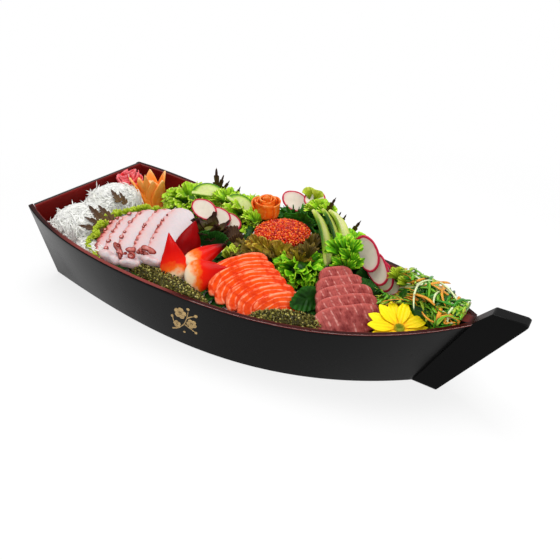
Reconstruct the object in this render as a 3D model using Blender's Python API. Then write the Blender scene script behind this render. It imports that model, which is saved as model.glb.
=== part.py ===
"""A lacquered sushi boat with its load of sashimi, modelled as separate solids.

Metres, +Z up. +X points to the bow and -Y is starboard, the side that faces the viewer.
The origin is on the table, under the middle of the boat.

The hull is planked: two flared sides ruled from the floor's edge to the rim, a floor, a
transom and a stem post. The load is laid from firm to soft, and each softer piece gets a
seat cut into it, with a small gap, wherever a firmer one presses in.
"""

import math

import bmesh
import bpy
import numpy as np
from mathutils import Matrix, Vector
from mathutils.bvhtree import BVHTree

# Hull lines: each tuple holds Bezier control values from the transom to the stem.
RIM_LENGTH = 0.500
RIM_HALF_BREADTHS = (0.0877, 0.1321, 0.0733, 0.1256, 0.0098)
SHEER_HEIGHTS = (0.0987, 0.0646, 0.0580, 0.0878)
FLOOR_START = 0.0036
FLOOR_LENGTH = 0.4555
FLOOR_HALF_BREADTHS = (0.0756, 0.0908, 0.1018, 0.1017, 0.0061)

# Boards of the hull.
PLANK_THICKNESS = 0.006
PLANK_STATIONS = 32
RIM_CHAMFER = 0.0014
FLOOR_THICKNESS = 0.006
TRANSOM_THICKNESS = 0.008

# Stem post: a flat raked blade in the centre plane.
STEM_WIDTH = 0.0136
STEM_HEIGHT = 0.1036
STEM_REACH = 0.0425
STEM_HEAD = 0.0286
STEM_TOE = 0.0237
STEM_TAIL = 0.016
STEM_ROUND = 0.0012

# Loose slatted deck, wedged in the flare of the sides.
DECK_LEVEL = 0.020
DECK_THICKNESS = 0.004
DECK_SLOTS = 8
DECK_SLOT_WIDTH = 0.007
DECK_SLOT_SHARE = 0.62
DECK_NARROWEST = 0.014

# Bed of shredded radish: level as a share of the rim's height amidships, with two heaps.
BED_LEVEL_SHARE = 0.80
BED_SIDE_GAP = 0.0008
BED_STERN_ROOM = 0.003
ROE_HEAP = 0.026
ROE_HEAP_LENGTH = 0.085
ROE_HEAP_WIDTH = 0.038
OCTOPUS_HEAP = 0.019
OCTOPUS_HEAP_LENGTH = 0.070
OCTOPUS_HEAP_WIDTH = 0.050

# Gap between pieces that touch, and the looser fit of slices in a fan and of the boards.
GAP = 0.0003
SLICE_GAP = 0.0005
BOARD_FIT = 0.0005

# Fish.
SALMON_LENGTHS = (0.062, 0.068, 0.068, 0.064, 0.058, 0.049)
SALMON_WIDTH = 0.026
SALMON_THICKNESS = 0.006
SALMON_DROOP = 0.014
SALMON_DROP = 0.0025
SALMON_SLIDE = 0.0052
TUNA_LENGTHS = (0.046, 0.054, 0.060, 0.064, 0.062)
TUNA_WIDTH = 0.028
TUNA_THICKNESS = 0.007
TUNA_DROP = 0.0026
TUNA_SLIDE = 0.0018
OCTOPUS_LENGTHS = (0.062, 0.072, 0.082, 0.090, 0.096)
OCTOPUS_WIDTH = 0.038
OCTOPUS_THICKNESS = 0.0050
CLAM_THICKNESS = 0.0065

# Roe and its dish.
DISH_RADIUS = 0.034
DISH_FOOT_RADIUS = 0.021
DISH_DEPTH = 0.024
DISH_WALL = 0.0022
ROE_HEIGHT = 0.014

# Vegetables and flower.
RADISH_RADIUS = 0.0165
RADISH_THICKNESS = 0.0022
CUCUMBER_RADIUS = 0.021
CUCUMBER_THICKNESS = 0.0045
STRIP_WIDTH = 0.015
CARROT_RADIUS = 0.0155
CARROT_TIPS_ABOVE_RIM = 0.016
CARROT_SUNK = 0.001
CARROT_WALL = 0.004
CARROT_PETALS = 5
FLOWER_RADIUS = 0.0235
FLOWER_PETALS = 13
FLOWER_EYE_RADIUS = 0.0052
PETAL_THICKNESS = 0.0022
FLOWER_EYE_HEIGHT = 0.0034
SHISO_LENGTH = 0.042
SHISO_WIDTH = 0.030
SHISO_THICKNESS = 0.0016

STERN_X = -(RIM_LENGTH + STEM_REACH) / 2
FLOOR_END = FLOOR_START + FLOOR_LENGTH
HUNDREDTH = RIM_LENGTH / 100
UP = np.array((0.0, 0.0, 1.0))

# Colours (linear RGB) and roughness of the finishes.
FINISHES = {
    "black_lacquer": ((0.012, 0.012, 0.013), 0.25),
    "red_lacquer": ((0.19, 0.018, 0.016), 0.30),
    "daikon": ((0.80, 0.80, 0.74), 0.55),
    "ginger": ((0.80, 0.17, 0.19), 0.40),
    "carrot": ((0.87, 0.25, 0.03), 0.45),
    "lettuce": ((0.22, 0.52, 0.02), 0.50),
    "red_lettuce": ((0.10, 0.055, 0.02), 0.50),
    "octopus": ((0.84, 0.75, 0.74), 0.35),
    "clam": ((0.72, 0.06, 0.03), 0.30),
    "sea_grapes": ((0.14, 0.13, 0.02), 0.55),
    "salmon": ((0.88, 0.13, 0.015), 0.35),
    "tuna": ((0.40, 0.07, 0.08), 0.40),
    "shiso": ((0.03, 0.14, 0.01), 0.55),
    "dish": ((0.82, 0.82, 0.80), 0.20),
    "roe": ((0.76, 0.05, 0.01), 0.20),
    "cucumber": ((0.48, 0.68, 0.22), 0.40),
    "radish": ((0.88, 0.80, 0.78), 0.40),
    "seaweed": ((0.05, 0.32, 0.02), 0.35),
    "petal": ((1.00, 0.66, 0.00), 0.50),
    "eye": ((0.20, 0.22, 0.02), 0.60),
}


# Hull lines.

def bezier(controls, t):
    """Bezier polynomial with these control values, at t from 0 to 1."""
    t = np.asarray(t, dtype=float)
    n = len(controls) - 1
    return sum(math.comb(n, i) * t**i * (1 - t)**(n - i) * c for i, c in enumerate(controls))


def bezier_slope(controls, t):
    """Derivative of that polynomial by t."""
    n = len(controls) - 1
    return bezier([n * (b - a) for a, b in zip(controls, controls[1:])], t)


def side_point(station, rise):
    """Outer face of a side: (x, half-breadth, z), at a share of the way from floor to rim."""
    floor_x = FLOOR_START + FLOOR_LENGTH * station
    floor_half = bezier(FLOOR_HALF_BREADTHS, station)
    rim_half = bezier(RIM_HALF_BREADTHS, station)
    x = STERN_X + floor_x + rise * (RIM_LENGTH * station - floor_x)
    half = floor_half + rise * (rim_half - floor_half)
    return x, half, rise * bezier(SHEER_HEIGHTS, station)


def plank_across(station, rise):
    """Width of the plank measured square across the boat, for its true thickness."""
    floor_slope = bezier_slope(FLOOR_HALF_BREADTHS, station) / FLOOR_LENGTH
    rim_slope = bezier_slope(RIM_HALF_BREADTHS, station) / RIM_LENGTH
    lengthwise = floor_slope + rise * (rim_slope - floor_slope)
    flare = bezier(RIM_HALF_BREADTHS, station) - bezier(FLOOR_HALF_BREADTHS, station)
    upwards = flare / bezier(SHEER_HEIGHTS, station)
    return PLANK_THICKNESS * np.sqrt(1 + lengthwise**2 + upwards**2)


def inner_half(x, z):
    """Half-breadth inside the planks at a place along the boat and a height."""
    x, z = np.broadcast_arrays(np.asarray(x, dtype=float), np.asarray(z, dtype=float))
    low, high = np.zeros(x.shape), np.ones(x.shape)
    for _ in range(40):
        middle = (low + high) / 2
        ahead = side_point(middle, z / bezier(SHEER_HEIGHTS, middle))[0] > x
        high = np.where(ahead, middle, high)
        low = np.where(ahead, low, middle)
    rise = z / bezier(SHEER_HEIGHTS, low)
    return side_point(low, rise)[1] - plank_across(low, rise)


def spot(station, share, above_rim):
    """A place in the load: station along the rim, share of the half-beam, height over the rim.

    The height is in hundredths of the rim's length.
    """
    return np.array((
        STERN_X + RIM_LENGTH * station,
        share * bezier(RIM_HALF_BREADTHS, station),
        bezier(SHEER_HEIGHTS, station) + above_rim * HUNDREDTH,
    ))


# Making objects.

def clear_scene():
    for old in list(bpy.data.objects):
        bpy.data.objects.remove(old, do_unlink=True)


def finish_material(name):
    """Principled material for one of the finishes."""
    found = bpy.data.materials.get(name)
    if found:
        return found
    colour, roughness = FINISHES[name]
    material = bpy.data.materials.new(name)
    material.use_nodes = True
    shader = material.node_tree.nodes["Principled BSDF"]
    shader.inputs["Base Color"].default_value = (*colour, 1.0)
    shader.inputs["Roughness"].default_value = roughness
    return material


def mesh_object(name, points, faces):
    """Object with a closed mesh whose faces look outwards."""
    mesh = bpy.data.meshes.new(name)
    mesh.from_pydata([tuple(p) for p in points], [], faces)
    work = bmesh.new()
    work.from_mesh(mesh)
    bmesh.ops.recalc_face_normals(work, faces=work.faces)
    work.to_mesh(mesh)
    work.free()
    piece = bpy.data.objects.new(name, mesh)
    bpy.context.scene.collection.objects.link(piece)
    return piece


def keep_largest_body(piece):
    """Drop the offcuts that a seat leaves loose."""
    work = bmesh.new()
    work.from_mesh(piece.data)
    bmesh.ops.remove_doubles(work, verts=work.verts, dist=1e-6)
    bmesh.ops.dissolve_degenerate(work, edges=work.edges, dist=1e-6)
    unseen = set(work.faces)
    bodies = []
    while unseen:
        body, edge_of_body = set(), [unseen.pop()]
        while edge_of_body:
            face = edge_of_body.pop()
            body.add(face)
            for edge in face.edges:
                fresh = [f for f in edge.link_faces if f in unseen]
                unseen.difference_update(fresh)
                edge_of_body.extend(fresh)
        bodies.append(body)
    bodies.sort(key=lambda body: sum(face.calc_area() for face in body))
    loose = [face for body in bodies[:-1] for face in body]
    bmesh.ops.delete(work, geom=loose, context="FACES")
    bmesh.ops.triangulate(work, faces=work.faces)
    work.to_mesh(piece.data)
    work.free()


def cut(piece, cutters):
    """Boolean difference of a piece and its cutters."""
    for cutter in cutters:
        modifier = piece.modifiers.new("seat", "BOOLEAN")
        modifier.solver = "EXACT"
        modifier.operation = "DIFFERENCE"
        modifier.object = cutter
    bpy.context.view_layer.update()
    graph = bpy.context.evaluated_depsgraph_get()
    mesh = bpy.data.meshes.new_from_object(piece.evaluated_get(graph))
    piece.modifiers.clear()
    old, piece.data = piece.data, mesh
    bpy.data.meshes.remove(old)
    keep_largest_body(piece)


def surface_tree(piece):
    mesh = piece.data
    points = [v.co.copy() for v in mesh.vertices]
    return BVHTree.FromPolygons(points, [tuple(p.vertices) for p in mesh.polygons])


class Load:
    """The pieces laid so far, each with a swollen copy that cuts seats into softer ones."""

    def __init__(self):
        self.seats = []

    def add(self, name, finish, shape, parent, room=None, holes=()):
        """Lay one piece.

        shape(grow) gives points and faces, swollen by grow on every side. Later pieces leave
        it that room, or the one that room(grow) gives. holes are cutters of its own.
        """
        piece = mesh_object(name, *shape(0.0))
        tree = surface_tree(piece)
        cutters = [seat for seat, seat_tree in self.seats if seat_tree.overlap(tree)]
        cutters.extend(holes)
        if cutters:
            cut(piece, cutters)
        piece.data.materials.clear()
        piece.data.materials.append(finish_material(finish))
        seat = mesh_object(name + "_seat", *(room or shape)(GAP))
        self.seats.append((seat, surface_tree(seat)))
        settle(piece, parent)

    def clear_seats(self):
        for seat, _ in self.seats:
            bpy.data.objects.remove(seat, do_unlink=True)


def settle(piece, parent):
    """Move the object's origin to the middle of its mesh and hang it on its parent."""
    corners = np.array([v.co for v in piece.data.vertices])
    middle = Vector((corners.min(axis=0) + corners.max(axis=0)) / 2)
    piece.data.transform(Matrix.Translation(-middle))
    piece.location = middle - parent.location
    piece.parent = parent


def carrier(name, place):
    """Empty that carries the pieces of one body."""
    empty = bpy.data.objects.new(name, None)
    empty.location = Vector(place)
    bpy.context.scene.collection.objects.link(empty)
    return empty


# Forms.

def loft(rings):
    """Triangles between successive closed rings of points, with a face over each end."""
    rings = np.asarray(rings, dtype=float)
    count, size = rings.shape[:2]
    faces = []
    for i in range(count - 1):
        for j in range(size):
            a, b = i * size + j, i * size + (j + 1) % size
            faces.append((a, b, b + size))
            faces.append((a, b + size, a + size))
    faces.append(tuple(range(size)))
    faces.append(tuple((count - 1) * size + j for j in range(size)))
    return rings.reshape(-1, 3), faces


def closed_at_poles(rings, poles):
    """The same, but each end is drawn together in a point."""
    points, faces = loft(rings)
    count, size = rings.shape[:2]
    first_pole, last_ring = len(points), (count - 1) * size
    faces = faces[:-2]
    for j in range(size):
        k = (j + 1) % size
        faces.append((first_pole, k, j))
        faces.append((first_pole + 1, last_ring + j, last_ring + k))
    return np.vstack((points, poles)), faces


def unit(vector):
    vector = np.asarray(vector, dtype=float)
    return vector / np.linalg.norm(vector)


def axes(along, facing):
    """Length, down-slope and face directions of a slab."""
    e1 = unit(along)
    facing = np.asarray(facing, dtype=float)
    e3 = unit(facing - facing.dot(e1) * e1)
    return e1, np.cross(e1, e3), e3


def lean(yaw, tilt):
    """Length and face directions of a slab whose upper edge is level and which leans back."""
    yaw, tilt = math.radians(yaw), math.radians(tilt)
    ahead = np.array((math.sin(yaw), -math.cos(yaw), 0.0))
    along = np.array((math.cos(yaw), math.sin(yaw), 0.0))
    return along, ahead * math.sin(tilt) + UP * math.cos(tilt), ahead


def widen(outline, distance):
    """Outline moved outwards by a distance, mitred at its corners."""
    before = outline - np.roll(outline, 1, axis=0)
    after = np.roll(outline, -1, axis=0) - outline
    turn = np.sign(np.sum(before[:, 0] * after[:, 1] - before[:, 1] * after[:, 0]))
    normal_before = turn * np.stack((before[:, 1], -before[:, 0]), 1)
    normal_after = turn * np.stack((after[:, 1], -after[:, 0]), 1)
    normal_before /= np.linalg.norm(normal_before, axis=1, keepdims=True)
    normal_after /= np.linalg.norm(normal_after, axis=1, keepdims=True)
    middle = normal_before + normal_after
    middle /= np.linalg.norm(middle, axis=1, keepdims=True)
    reach = 1 / np.maximum(np.sum(middle * normal_after, axis=1, keepdims=True), 0.4)
    return outline + middle * reach * distance


def plate(outline, thickness, place, along, facing):
    """Slab with a rounded edge: its outline is drawn in a little at both faces."""
    e1, e2, e3 = axes(along, facing)
    rounding = min(0.28 * thickness, 0.0015)

    def shape(grow):
        half = thickness / 2 + grow
        layers = ((rounding, -half), (0, rounding - half), (0, half - rounding), (rounding, half))
        if grow:
            layers = ((0, -half), (0, half))
        rings = []
        for inset, height in layers:
            flat = widen(outline, grow - inset)
            rings.append(place + flat[:, :1] * e1 + flat[:, 1:] * e2 + height * e3)
        return loft(rings)

    return shape


def oval(length, width, power=2.0, count=20, droop=0.0):
    """Superellipse, whose far end can droop down-slope."""
    turn = 2 * math.pi * np.arange(count) / count
    u = np.sign(np.cos(turn)) * np.abs(np.cos(turn)) ** (2 / power) * length / 2
    v = np.sign(np.sin(turn)) * np.abs(np.sin(turn)) ** (2 / power) * width / 2
    return np.stack((u, v + droop * ((1 - 2 * u / length) / 2) ** 2), 1)


def tongue(length, width, taper=0.5, count=18):
    """Drop shape, broad at its base and narrow at its tip."""
    turn = 2 * math.pi * np.arange(count) / count
    half_width = (1 - taper * np.cos(turn)) * width / 2
    return np.stack((np.cos(turn) * length / 2, np.sin(turn) * half_width), 1)


def half_moon(radius, depth, count=11):
    """Half a round slice, its cut edge down-slope."""
    turn = math.pi * np.arange(count + 1) / count
    return np.stack((np.cos(turn) * radius, depth * (0.45 - np.sin(turn))), 1)


def daisy(radius, petals, steps=4):
    """Ring of round-tipped petals."""
    turn = 2 * math.pi * np.arange(petals * steps) / (petals * steps)
    reach = radius * (0.60 + 0.40 * np.abs(np.cos(petals * turn / 2)) ** 0.7)
    return np.stack((reach * np.cos(turn), reach * np.sin(turn)), 1)


def lump(place, radii, yaw=0.0, lobes=7, ruffle=0.12, rows=7, columns=24):
    """Soft clump: an ellipsoid whose radius swells and dips in waves round its waist."""
    yaw = math.radians(yaw)
    turn = np.array(Matrix.Rotation(yaw, 3, "Z"))

    def shape(grow):
        latitude = math.pi * (np.arange(1, rows) / rows - 0.5)[:, None]
        longitude = 2 * math.pi * (np.arange(columns) / columns)[None, :]
        swell = 1 + ruffle * np.cos(latitude) ** 2 * np.cos(lobes * longitude + 2.5 * latitude)
        unit_ball = np.stack((
            swell * np.cos(latitude) * np.cos(longitude),
            swell * np.cos(latitude) * np.sin(longitude),
            np.sin(latitude) + 0 * longitude,
        ), 2)
        size = radii + 1.4 * grow
        rings = place + (unit_ball * size) @ turn.T
        return closed_at_poles(rings, place + np.outer((-size[2], size[2]), UP))

    return shape


def turned(profile, place, count=28):
    """Solid turned from a closed profile of (radius, height) points, first and last on the axis."""
    inner = np.asarray(profile[1:-1])
    angle = 2 * math.pi * np.arange(count) / count
    rings = np.stack((
        inner[:, :1] * np.cos(angle),
        inner[:, :1] * np.sin(angle),
        inner[:, 1:] + 0 * angle,
    ), 2) + place
    ends = place + np.outer((profile[0][1], profile[-1][1]), UP)
    return closed_at_poles(rings, ends)


# Pieces of the boat.

def side_plank(side):
    """Shape of a side: a ruled plank, sawn level at floor and rim, with eased rim edges."""
    def shape(grow):
        station = np.linspace(0, 1, PLANK_STATIONS)
        ease = RIM_CHAMFER / bezier(SHEER_HEIGHTS, station)
        rings = []
        rises = (np.zeros_like(station), 1 - ease)
        for rise in rises:
            x, half, z = side_point(station, rise)
            rings.append((x, half, z))
        x, half, z = side_point(station, np.ones_like(station))
        across = plank_across(station, 1.0)
        rings.append((x, half - RIM_CHAMFER, z + grow))
        rings.append((x, half - across + RIM_CHAMFER - grow, z + grow))
        for rise in reversed(rises):
            x, half, z = side_point(station, rise)
            rings.append((x, half - plank_across(station, rise) - grow, z))
        x, half, z = np.array(rings).transpose(1, 2, 0)
        return loft(np.stack((x, side * half, z), 2))

    return shape


def stem_post():
    """Shape of the stem: its side outline, raked forward, drawn through the width."""
    toe = STERN_X + FLOOR_END + STEM_TOE
    tip = STERN_X + RIM_LENGTH + STEM_REACH
    rim_end = STERN_X + RIM_LENGTH
    rim_z = SHEER_HEIGHTS[-1]
    nose = 0.18 * STEM_HEAD
    outline = np.array((
        (STERN_X + FLOOR_END - STEM_TAIL, 0.0),
        (toe, 0.0),
        (tip - 0.35 * nose, STEM_HEIGHT - nose),
        (tip, STEM_HEIGHT - 0.3 * nose),
        (tip - 0.6 * nose, STEM_HEIGHT),
        (tip - STEM_HEAD, STEM_HEIGHT),
        (rim_end, rim_z),
        (rim_end - STEM_TAIL, rim_z - 0.002),
    ))

    def shape(grow):
        half = STEM_WIDTH / 2 + grow
        rings = []
        eased = half - STEM_ROUND
        for inset, y in ((STEM_ROUND, -half), (0, -eased), (0, eased), (STEM_ROUND, half)):
            flat = widen(outline, grow - inset)
            flat[:, 1] = np.maximum(flat[:, 1], -grow)
            rings.append(np.stack((flat[:, 0], 0 * flat[:, 0] + y, flat[:, 1]), 1))
        return loft(rings)

    return shape


def transom_face(z):
    """Distance along the boat of the transom's outer face, which rakes aft as it rises."""
    return STERN_X + FLOOR_START * (1 - z / SHEER_HEIGHTS[0])


def transom():
    """Shape of the stern board, fitted between the planks."""
    def shape(grow):
        rings = []
        for z in np.linspace(0, SHEER_HEIGHTS[0], 6):
            aft = transom_face(z)
            fore = aft + TRANSOM_THICKNESS + grow
            half_aft = inner_half(aft, z) - BOARD_FIT
            half_fore = inner_half(fore, z) - BOARD_FIT
            starboard = ((aft, -half_aft, z), (fore, -half_fore, z))
            port = ((fore, half_fore, z), (aft, half_aft, z))
            rings.append(starboard + port)
        return loft(rings)

    return shape


def board(low, high, start, end, fit_low, fit_high, stations=22):
    """Shape of a level board between two heights, fitted to the hull at two levels."""
    def shape(grow):
        rings = []
        for x in np.linspace(start, end, stations):
            a = inner_half(x, fit_low) - BOARD_FIT
            b = inner_half(x, fit_high) - BOARD_FIT
            rings.append(((x, -a, low), (x, a, low), (x, b, high + grow), (x, -b, high + grow)))
        return loft(rings)

    return shape


def deck_end():
    """Where the deck stops at the bow, before the planks close in."""
    x = np.linspace(STERN_X + RIM_LENGTH / 2, STERN_X + FLOOR_END, 400)
    return x[inner_half(x, DECK_LEVEL) > DECK_NARROWEST][-1]


def slot_cutter(start, end):
    """Cross slots of the deck, as one mesh of bars."""
    points, faces = [], []
    for i in range(DECK_SLOTS):
        x = start + (end - start) * (i + 1) / (DECK_SLOTS + 1)
        reach = DECK_SLOT_SHARE * inner_half(x, DECK_LEVEL)
        turn = 2 * math.pi * (np.arange(8) + 0.5) / 8
        flat = np.stack((DECK_SLOT_WIDTH / 2 * np.cos(turn), DECK_SLOT_WIDTH / 2 * np.sin(turn)), 1)
        flat[:, 1] += np.sign(flat[:, 1]) * (reach - DECK_SLOT_WIDTH / 2)
        ring = [np.column_stack((x + flat[:, 0], flat[:, 1], np.full(8, z)))
                for z in (DECK_LEVEL - DECK_THICKNESS, DECK_LEVEL + 2 * DECK_THICKNESS)]
        bar_points, bar_faces = loft(ring)
        faces.extend(tuple(v + len(points) for v in face) for face in bar_faces)
        points.extend(bar_points)
    return mesh_object("deck_slots", points, faces)


def bed_level():
    """Height of the bed away from its heaps."""
    return BED_LEVEL_SHARE * bezier(SHEER_HEIGHTS, 0.5)


def bed_height(x, y):
    """Top of the bed: level, with one heap under the roe and one under the octopus."""
    height = bed_level() + 0 * y
    for place, rise, length, width in (
        (spot(0.52, 0.40, 0.0), ROE_HEAP, ROE_HEAP_LENGTH, ROE_HEAP_WIDTH),
        (spot(0.31, -0.30, 0.0), OCTOPUS_HEAP, OCTOPUS_HEAP_LENGTH, OCTOPUS_HEAP_WIDTH),
    ):
        away = ((x - place[0]) / length) ** 2 + ((y - place[1]) / width) ** 2
        height = height + rise * np.exp(-away)
    return height


def radish_bed(start, end):
    """Shape of the bed: it fills the hull from the deck up, and thins out towards the sides."""
    low = DECK_LEVEL + DECK_THICKNESS + GAP
    level = bed_level()

    def shape(grow):
        rings = []
        across = np.linspace(-1, 1, 9)
        for x in np.linspace(start, end, 20):
            low_half = inner_half(x, low) - BED_SIDE_GAP
            top_y = across * (inner_half(x, level) - BED_SIDE_GAP)
            heap = (bed_height(x, top_y) - level) * (1 - across**6)
            bottom = [(x, y, low) for y in (low_half, 0.0, -low_half)]
            rings.append(bottom + [(x, y, level + z + grow) for y, z in zip(top_y, heap)])
        return loft(rings)

    return shape


# Pieces of the load.

def fan(load, parent, name, finish, start, yaw, tilt, lengths, width, thickness, drop, slide, droop=0.0):
    """Slices leaning on each other, their right ends in a row that steps down to the viewer."""
    along, facing, ahead = lean(yaw, tilt)
    slope = math.radians(tilt)
    pitch = (thickness + SLICE_GAP + drop * math.cos(slope)) / math.sin(slope)
    for i, length in enumerate(lengths):
        end = start + i * (ahead * pitch + along * slide - UP * drop)
        outline = oval(length, width, power=3.2, droop=droop * (length / max(lengths)) ** 2)
        place = end - along * length / 2
        load.add(f"{name}_{i + 1}", finish, plate(outline, thickness, place, along, facing), parent)


def octopus_slices(load, parent):
    """Broad slices across the boat, each lying on the edge of the one before."""
    first, last = spot(0.199, -0.517, -0.74), spot(0.341, -0.261, 1.54)
    along = unit((0.365, -0.905, -0.225))
    count = len(OCTOPUS_LENGTHS)
    step = (last - first) / (count - 1)
    level = unit(np.cross(along, UP))
    pitch = abs(step.dot(level))
    roll = math.asin(min((OCTOPUS_THICKNESS + GAP) / pitch * 1.06, 0.9))
    towards_bow = math.copysign(1, step.dot(level))
    facing = np.cross(level, along) * math.cos(roll) + level * math.sin(roll) * towards_bow
    for i, length in enumerate(OCTOPUS_LENGTHS):
        outline = oval(length, OCTOPUS_WIDTH, power=2.6)
        shape = plate(outline, OCTOPUS_THICKNESS, first + i * step, along, facing)
        load.add(f"octopus_{i + 1}", "octopus", shape, parent)


def clam_tongues(load, parent):
    """Surf clam tongues, given by base, tip, width (hundredths) and the way they face."""
    tongues = (
        (spot(0.434, -0.700, -1.4), spot(0.377, -0.458, 5.54), 5.8, (0.55, -0.65, 0.50)),
        (spot(0.408, -0.440, -0.6), spot(0.377, -0.058, 4.94), 5.2, (0.75, -0.35, 0.55)),
        (spot(0.435, -0.546, 1.3), spot(0.481, -0.162, 3.48), 4.8, (0.25, -0.40, 0.88)),
        (spot(0.455, -0.700, -0.2), spot(0.519, -0.440, 1.7), 5.4, (0.35, -0.55, 0.76)),
    )
    for i, (base, tip, width, facing) in enumerate(tongues):
        length = np.linalg.norm(tip - base)
        outline = tongue(length, width * HUNDREDTH)
        shape = plate(outline, CLAM_THICKNESS, (base + tip) / 2, tip - base, facing)
        load.add(f"clam_{i + 1}", "clam", shape, parent)


def roe_and_dish(load, parent):
    """A small dish heaped with roe; the room it leaves goes straight up, so it can be lifted."""
    rim = spot(0.555, 0.388, 3.42)
    wall = DISH_WALL
    clear = GAP * 1.4
    inner_radius = DISH_RADIUS - wall
    inner_foot = DISH_FOOT_RADIUS - wall
    floor = wall - DISH_DEPTH
    arc = np.linspace(0, math.pi / 2, 7)[:-1]
    dome = [(inner_radius * 0.985 * math.cos(a), ROE_HEIGHT * math.sin(a)) for a in arc]
    roe = [(0, floor + clear), (inner_foot - clear, floor + clear), (inner_radius - clear * 1.3, -0.001)]
    roe += dome + [(0, ROE_HEIGHT)]
    ease = 0.2 * wall
    dish = [(0, -DISH_DEPTH), (DISH_FOOT_RADIUS, -DISH_DEPTH), (DISH_RADIUS, -ease), (DISH_RADIUS - ease, 0)]
    dish += [(inner_radius + ease, 0), (inner_radius, -ease), (inner_foot, floor), (0, floor)]

    def room(grow):
        top = RIM_LENGTH / 5
        foot = DISH_FOOT_RADIUS + 1.5 * grow
        radius = DISH_RADIUS + grow
        under = -DISH_DEPTH - grow
        return turned([(0, under), (foot, under), (radius, -0.001), (radius, top), (0, top)], rim)

    load.add("roe", "roe", lambda grow: turned(roe, rim), parent)
    load.add("roe_dish", "dish", lambda grow: turned(dish, rim), parent, room)


def radish_slices(load, parent):
    """Three fans of thin round slices."""
    def slices(name, places, yaw, tilt, radius):
        along, facing, _ = lean(yaw, tilt)
        for i, place in enumerate(places):
            shape = plate(oval(2 * radius, 2 * radius), RADISH_THICKNESS, place, along, facing)
            load.add(f"radish_{name}_{i + 1}", "radish", shape, parent)

    left = spot(0.337, 0.386, 3.02) + HUNDREDTH * np.outer(range(3), (3.6, -1.4, -1.0))
    right = spot(0.741, 0.660, 3.06) + HUNDREDTH * np.outer(range(4), (2.5, -2.6, -0.9))
    slices("left", left, 40, 50, 0.88 * RADISH_RADIUS)
    slices("centre", [spot(0.529, 0.850, 6.8)], 40, 48, RADISH_RADIUS)
    slices("right", right, 75, 62, RADISH_RADIUS)


def cucumber_slices(load, parent):
    """Two half slices on the far lettuce, and three long strips fanned beside the roe."""
    along, facing, _ = lean(38, 48)
    for i, place in enumerate((spot(0.289, 0.640, 4.16), spot(0.392, 0.620, 4.38))):
        outline = half_moon(CUCUMBER_RADIUS, 0.8 * CUCUMBER_RADIUS)
        shape = plate(outline, CUCUMBER_THICKNESS, place, along, facing)
        load.add(f"cucumber_half_{i + 1}", "cucumber", shape, parent)
    strips = (
        (spot(0.597, 0.720, 8.4), spot(0.695, 0.250, 1.8)),
        (spot(0.612, 0.810, 8.4), spot(0.702, 0.370, 2.2)),
        (spot(0.630, 0.880, 8.0), spot(0.697, 0.600, 3.0)),
    )
    for i, (top, foot) in enumerate(strips):
        outline = oval(np.linalg.norm(foot - top), STRIP_WIDTH, power=2.3)
        shape = plate(outline, 0.8 * CUCUMBER_THICKNESS, (top + foot) / 2, foot - top, (0.90, 0.15, 0.55))
        load.add(f"cucumber_strip_{i + 1}", "cucumber", shape, parent)


def carrot_tulip(load, parent):
    """A carved cup whose wall runs up into pointed petals."""
    base = spot(0.108, 0.520, 0.0)
    tip_height = base[2] + CARROT_TIPS_ABOVE_RIM
    place = np.array((base[0], base[1], bed_level() - CARROT_SUNK))
    height = tip_height - place[2]
    columns = CARROT_PETALS * 8

    def shape(grow):
        rings = []
        for j in range(columns):
            angle = 2 * math.pi * j / columns
            saw = abs((j / 8) % 1 - 0.5) * 2
            top = height * (0.55 + 0.45 * (1 - saw) ** 0.8)
            wall = CARROT_WALL * (1.0 - 0.35 * (1 - saw)) + 2 * grow
            radius = CARROT_RADIUS + grow
            profile = (
                (0.62 * radius, -grow),
                (0.95 * radius, 0.28 * height),
                (1.00 * radius + 0.10 * top, top + grow),
                (1.00 * radius + 0.10 * top - wall * 0.5, top + grow),
                (0.95 * radius - wall, 0.36 * height),
                (0.40 * radius, 0.22 * height),
            )
            outwards = np.array((math.cos(angle), math.sin(angle), 0.0))
            rings.append([place + r * outwards + z * UP for r, z in profile])
        rings = np.array(rings)
        size = rings.shape[1]
        points = rings.reshape(-1, 3)
        faces = []
        for j in range(columns):
            k = (j + 1) % columns
            for i in range(size - 1):
                faces.append((j * size + i, k * size + i, k * size + i + 1))
                faces.append((j * size + i, k * size + i + 1, j * size + i + 1))
        faces.append(tuple(j * size for j in range(columns)))
        faces.append(tuple(j * size + size - 1 for j in range(columns)))
        return points, faces

    load.add("carrot_tulip", "carrot", shape, parent)


def flower(load, parent):
    """A daisy facing the viewer, at the near rim."""
    centre = spot(0.884, -0.400, -1.3)
    along, facing, _ = lean(34, 24)
    petals = plate(daisy(FLOWER_RADIUS, FLOWER_PETALS), PETAL_THICKNESS, centre, along, facing)
    load.add("flower_petals", "petal", petals, parent)
    above = (PETAL_THICKNESS + FLOWER_EYE_HEIGHT) / 2 + GAP
    round_eye = oval(2 * FLOWER_EYE_RADIUS, 2 * FLOWER_EYE_RADIUS)
    eye = plate(round_eye, FLOWER_EYE_HEIGHT, centre + facing * above, along, facing)
    load.add("flower_eye", "eye", eye, parent)


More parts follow.
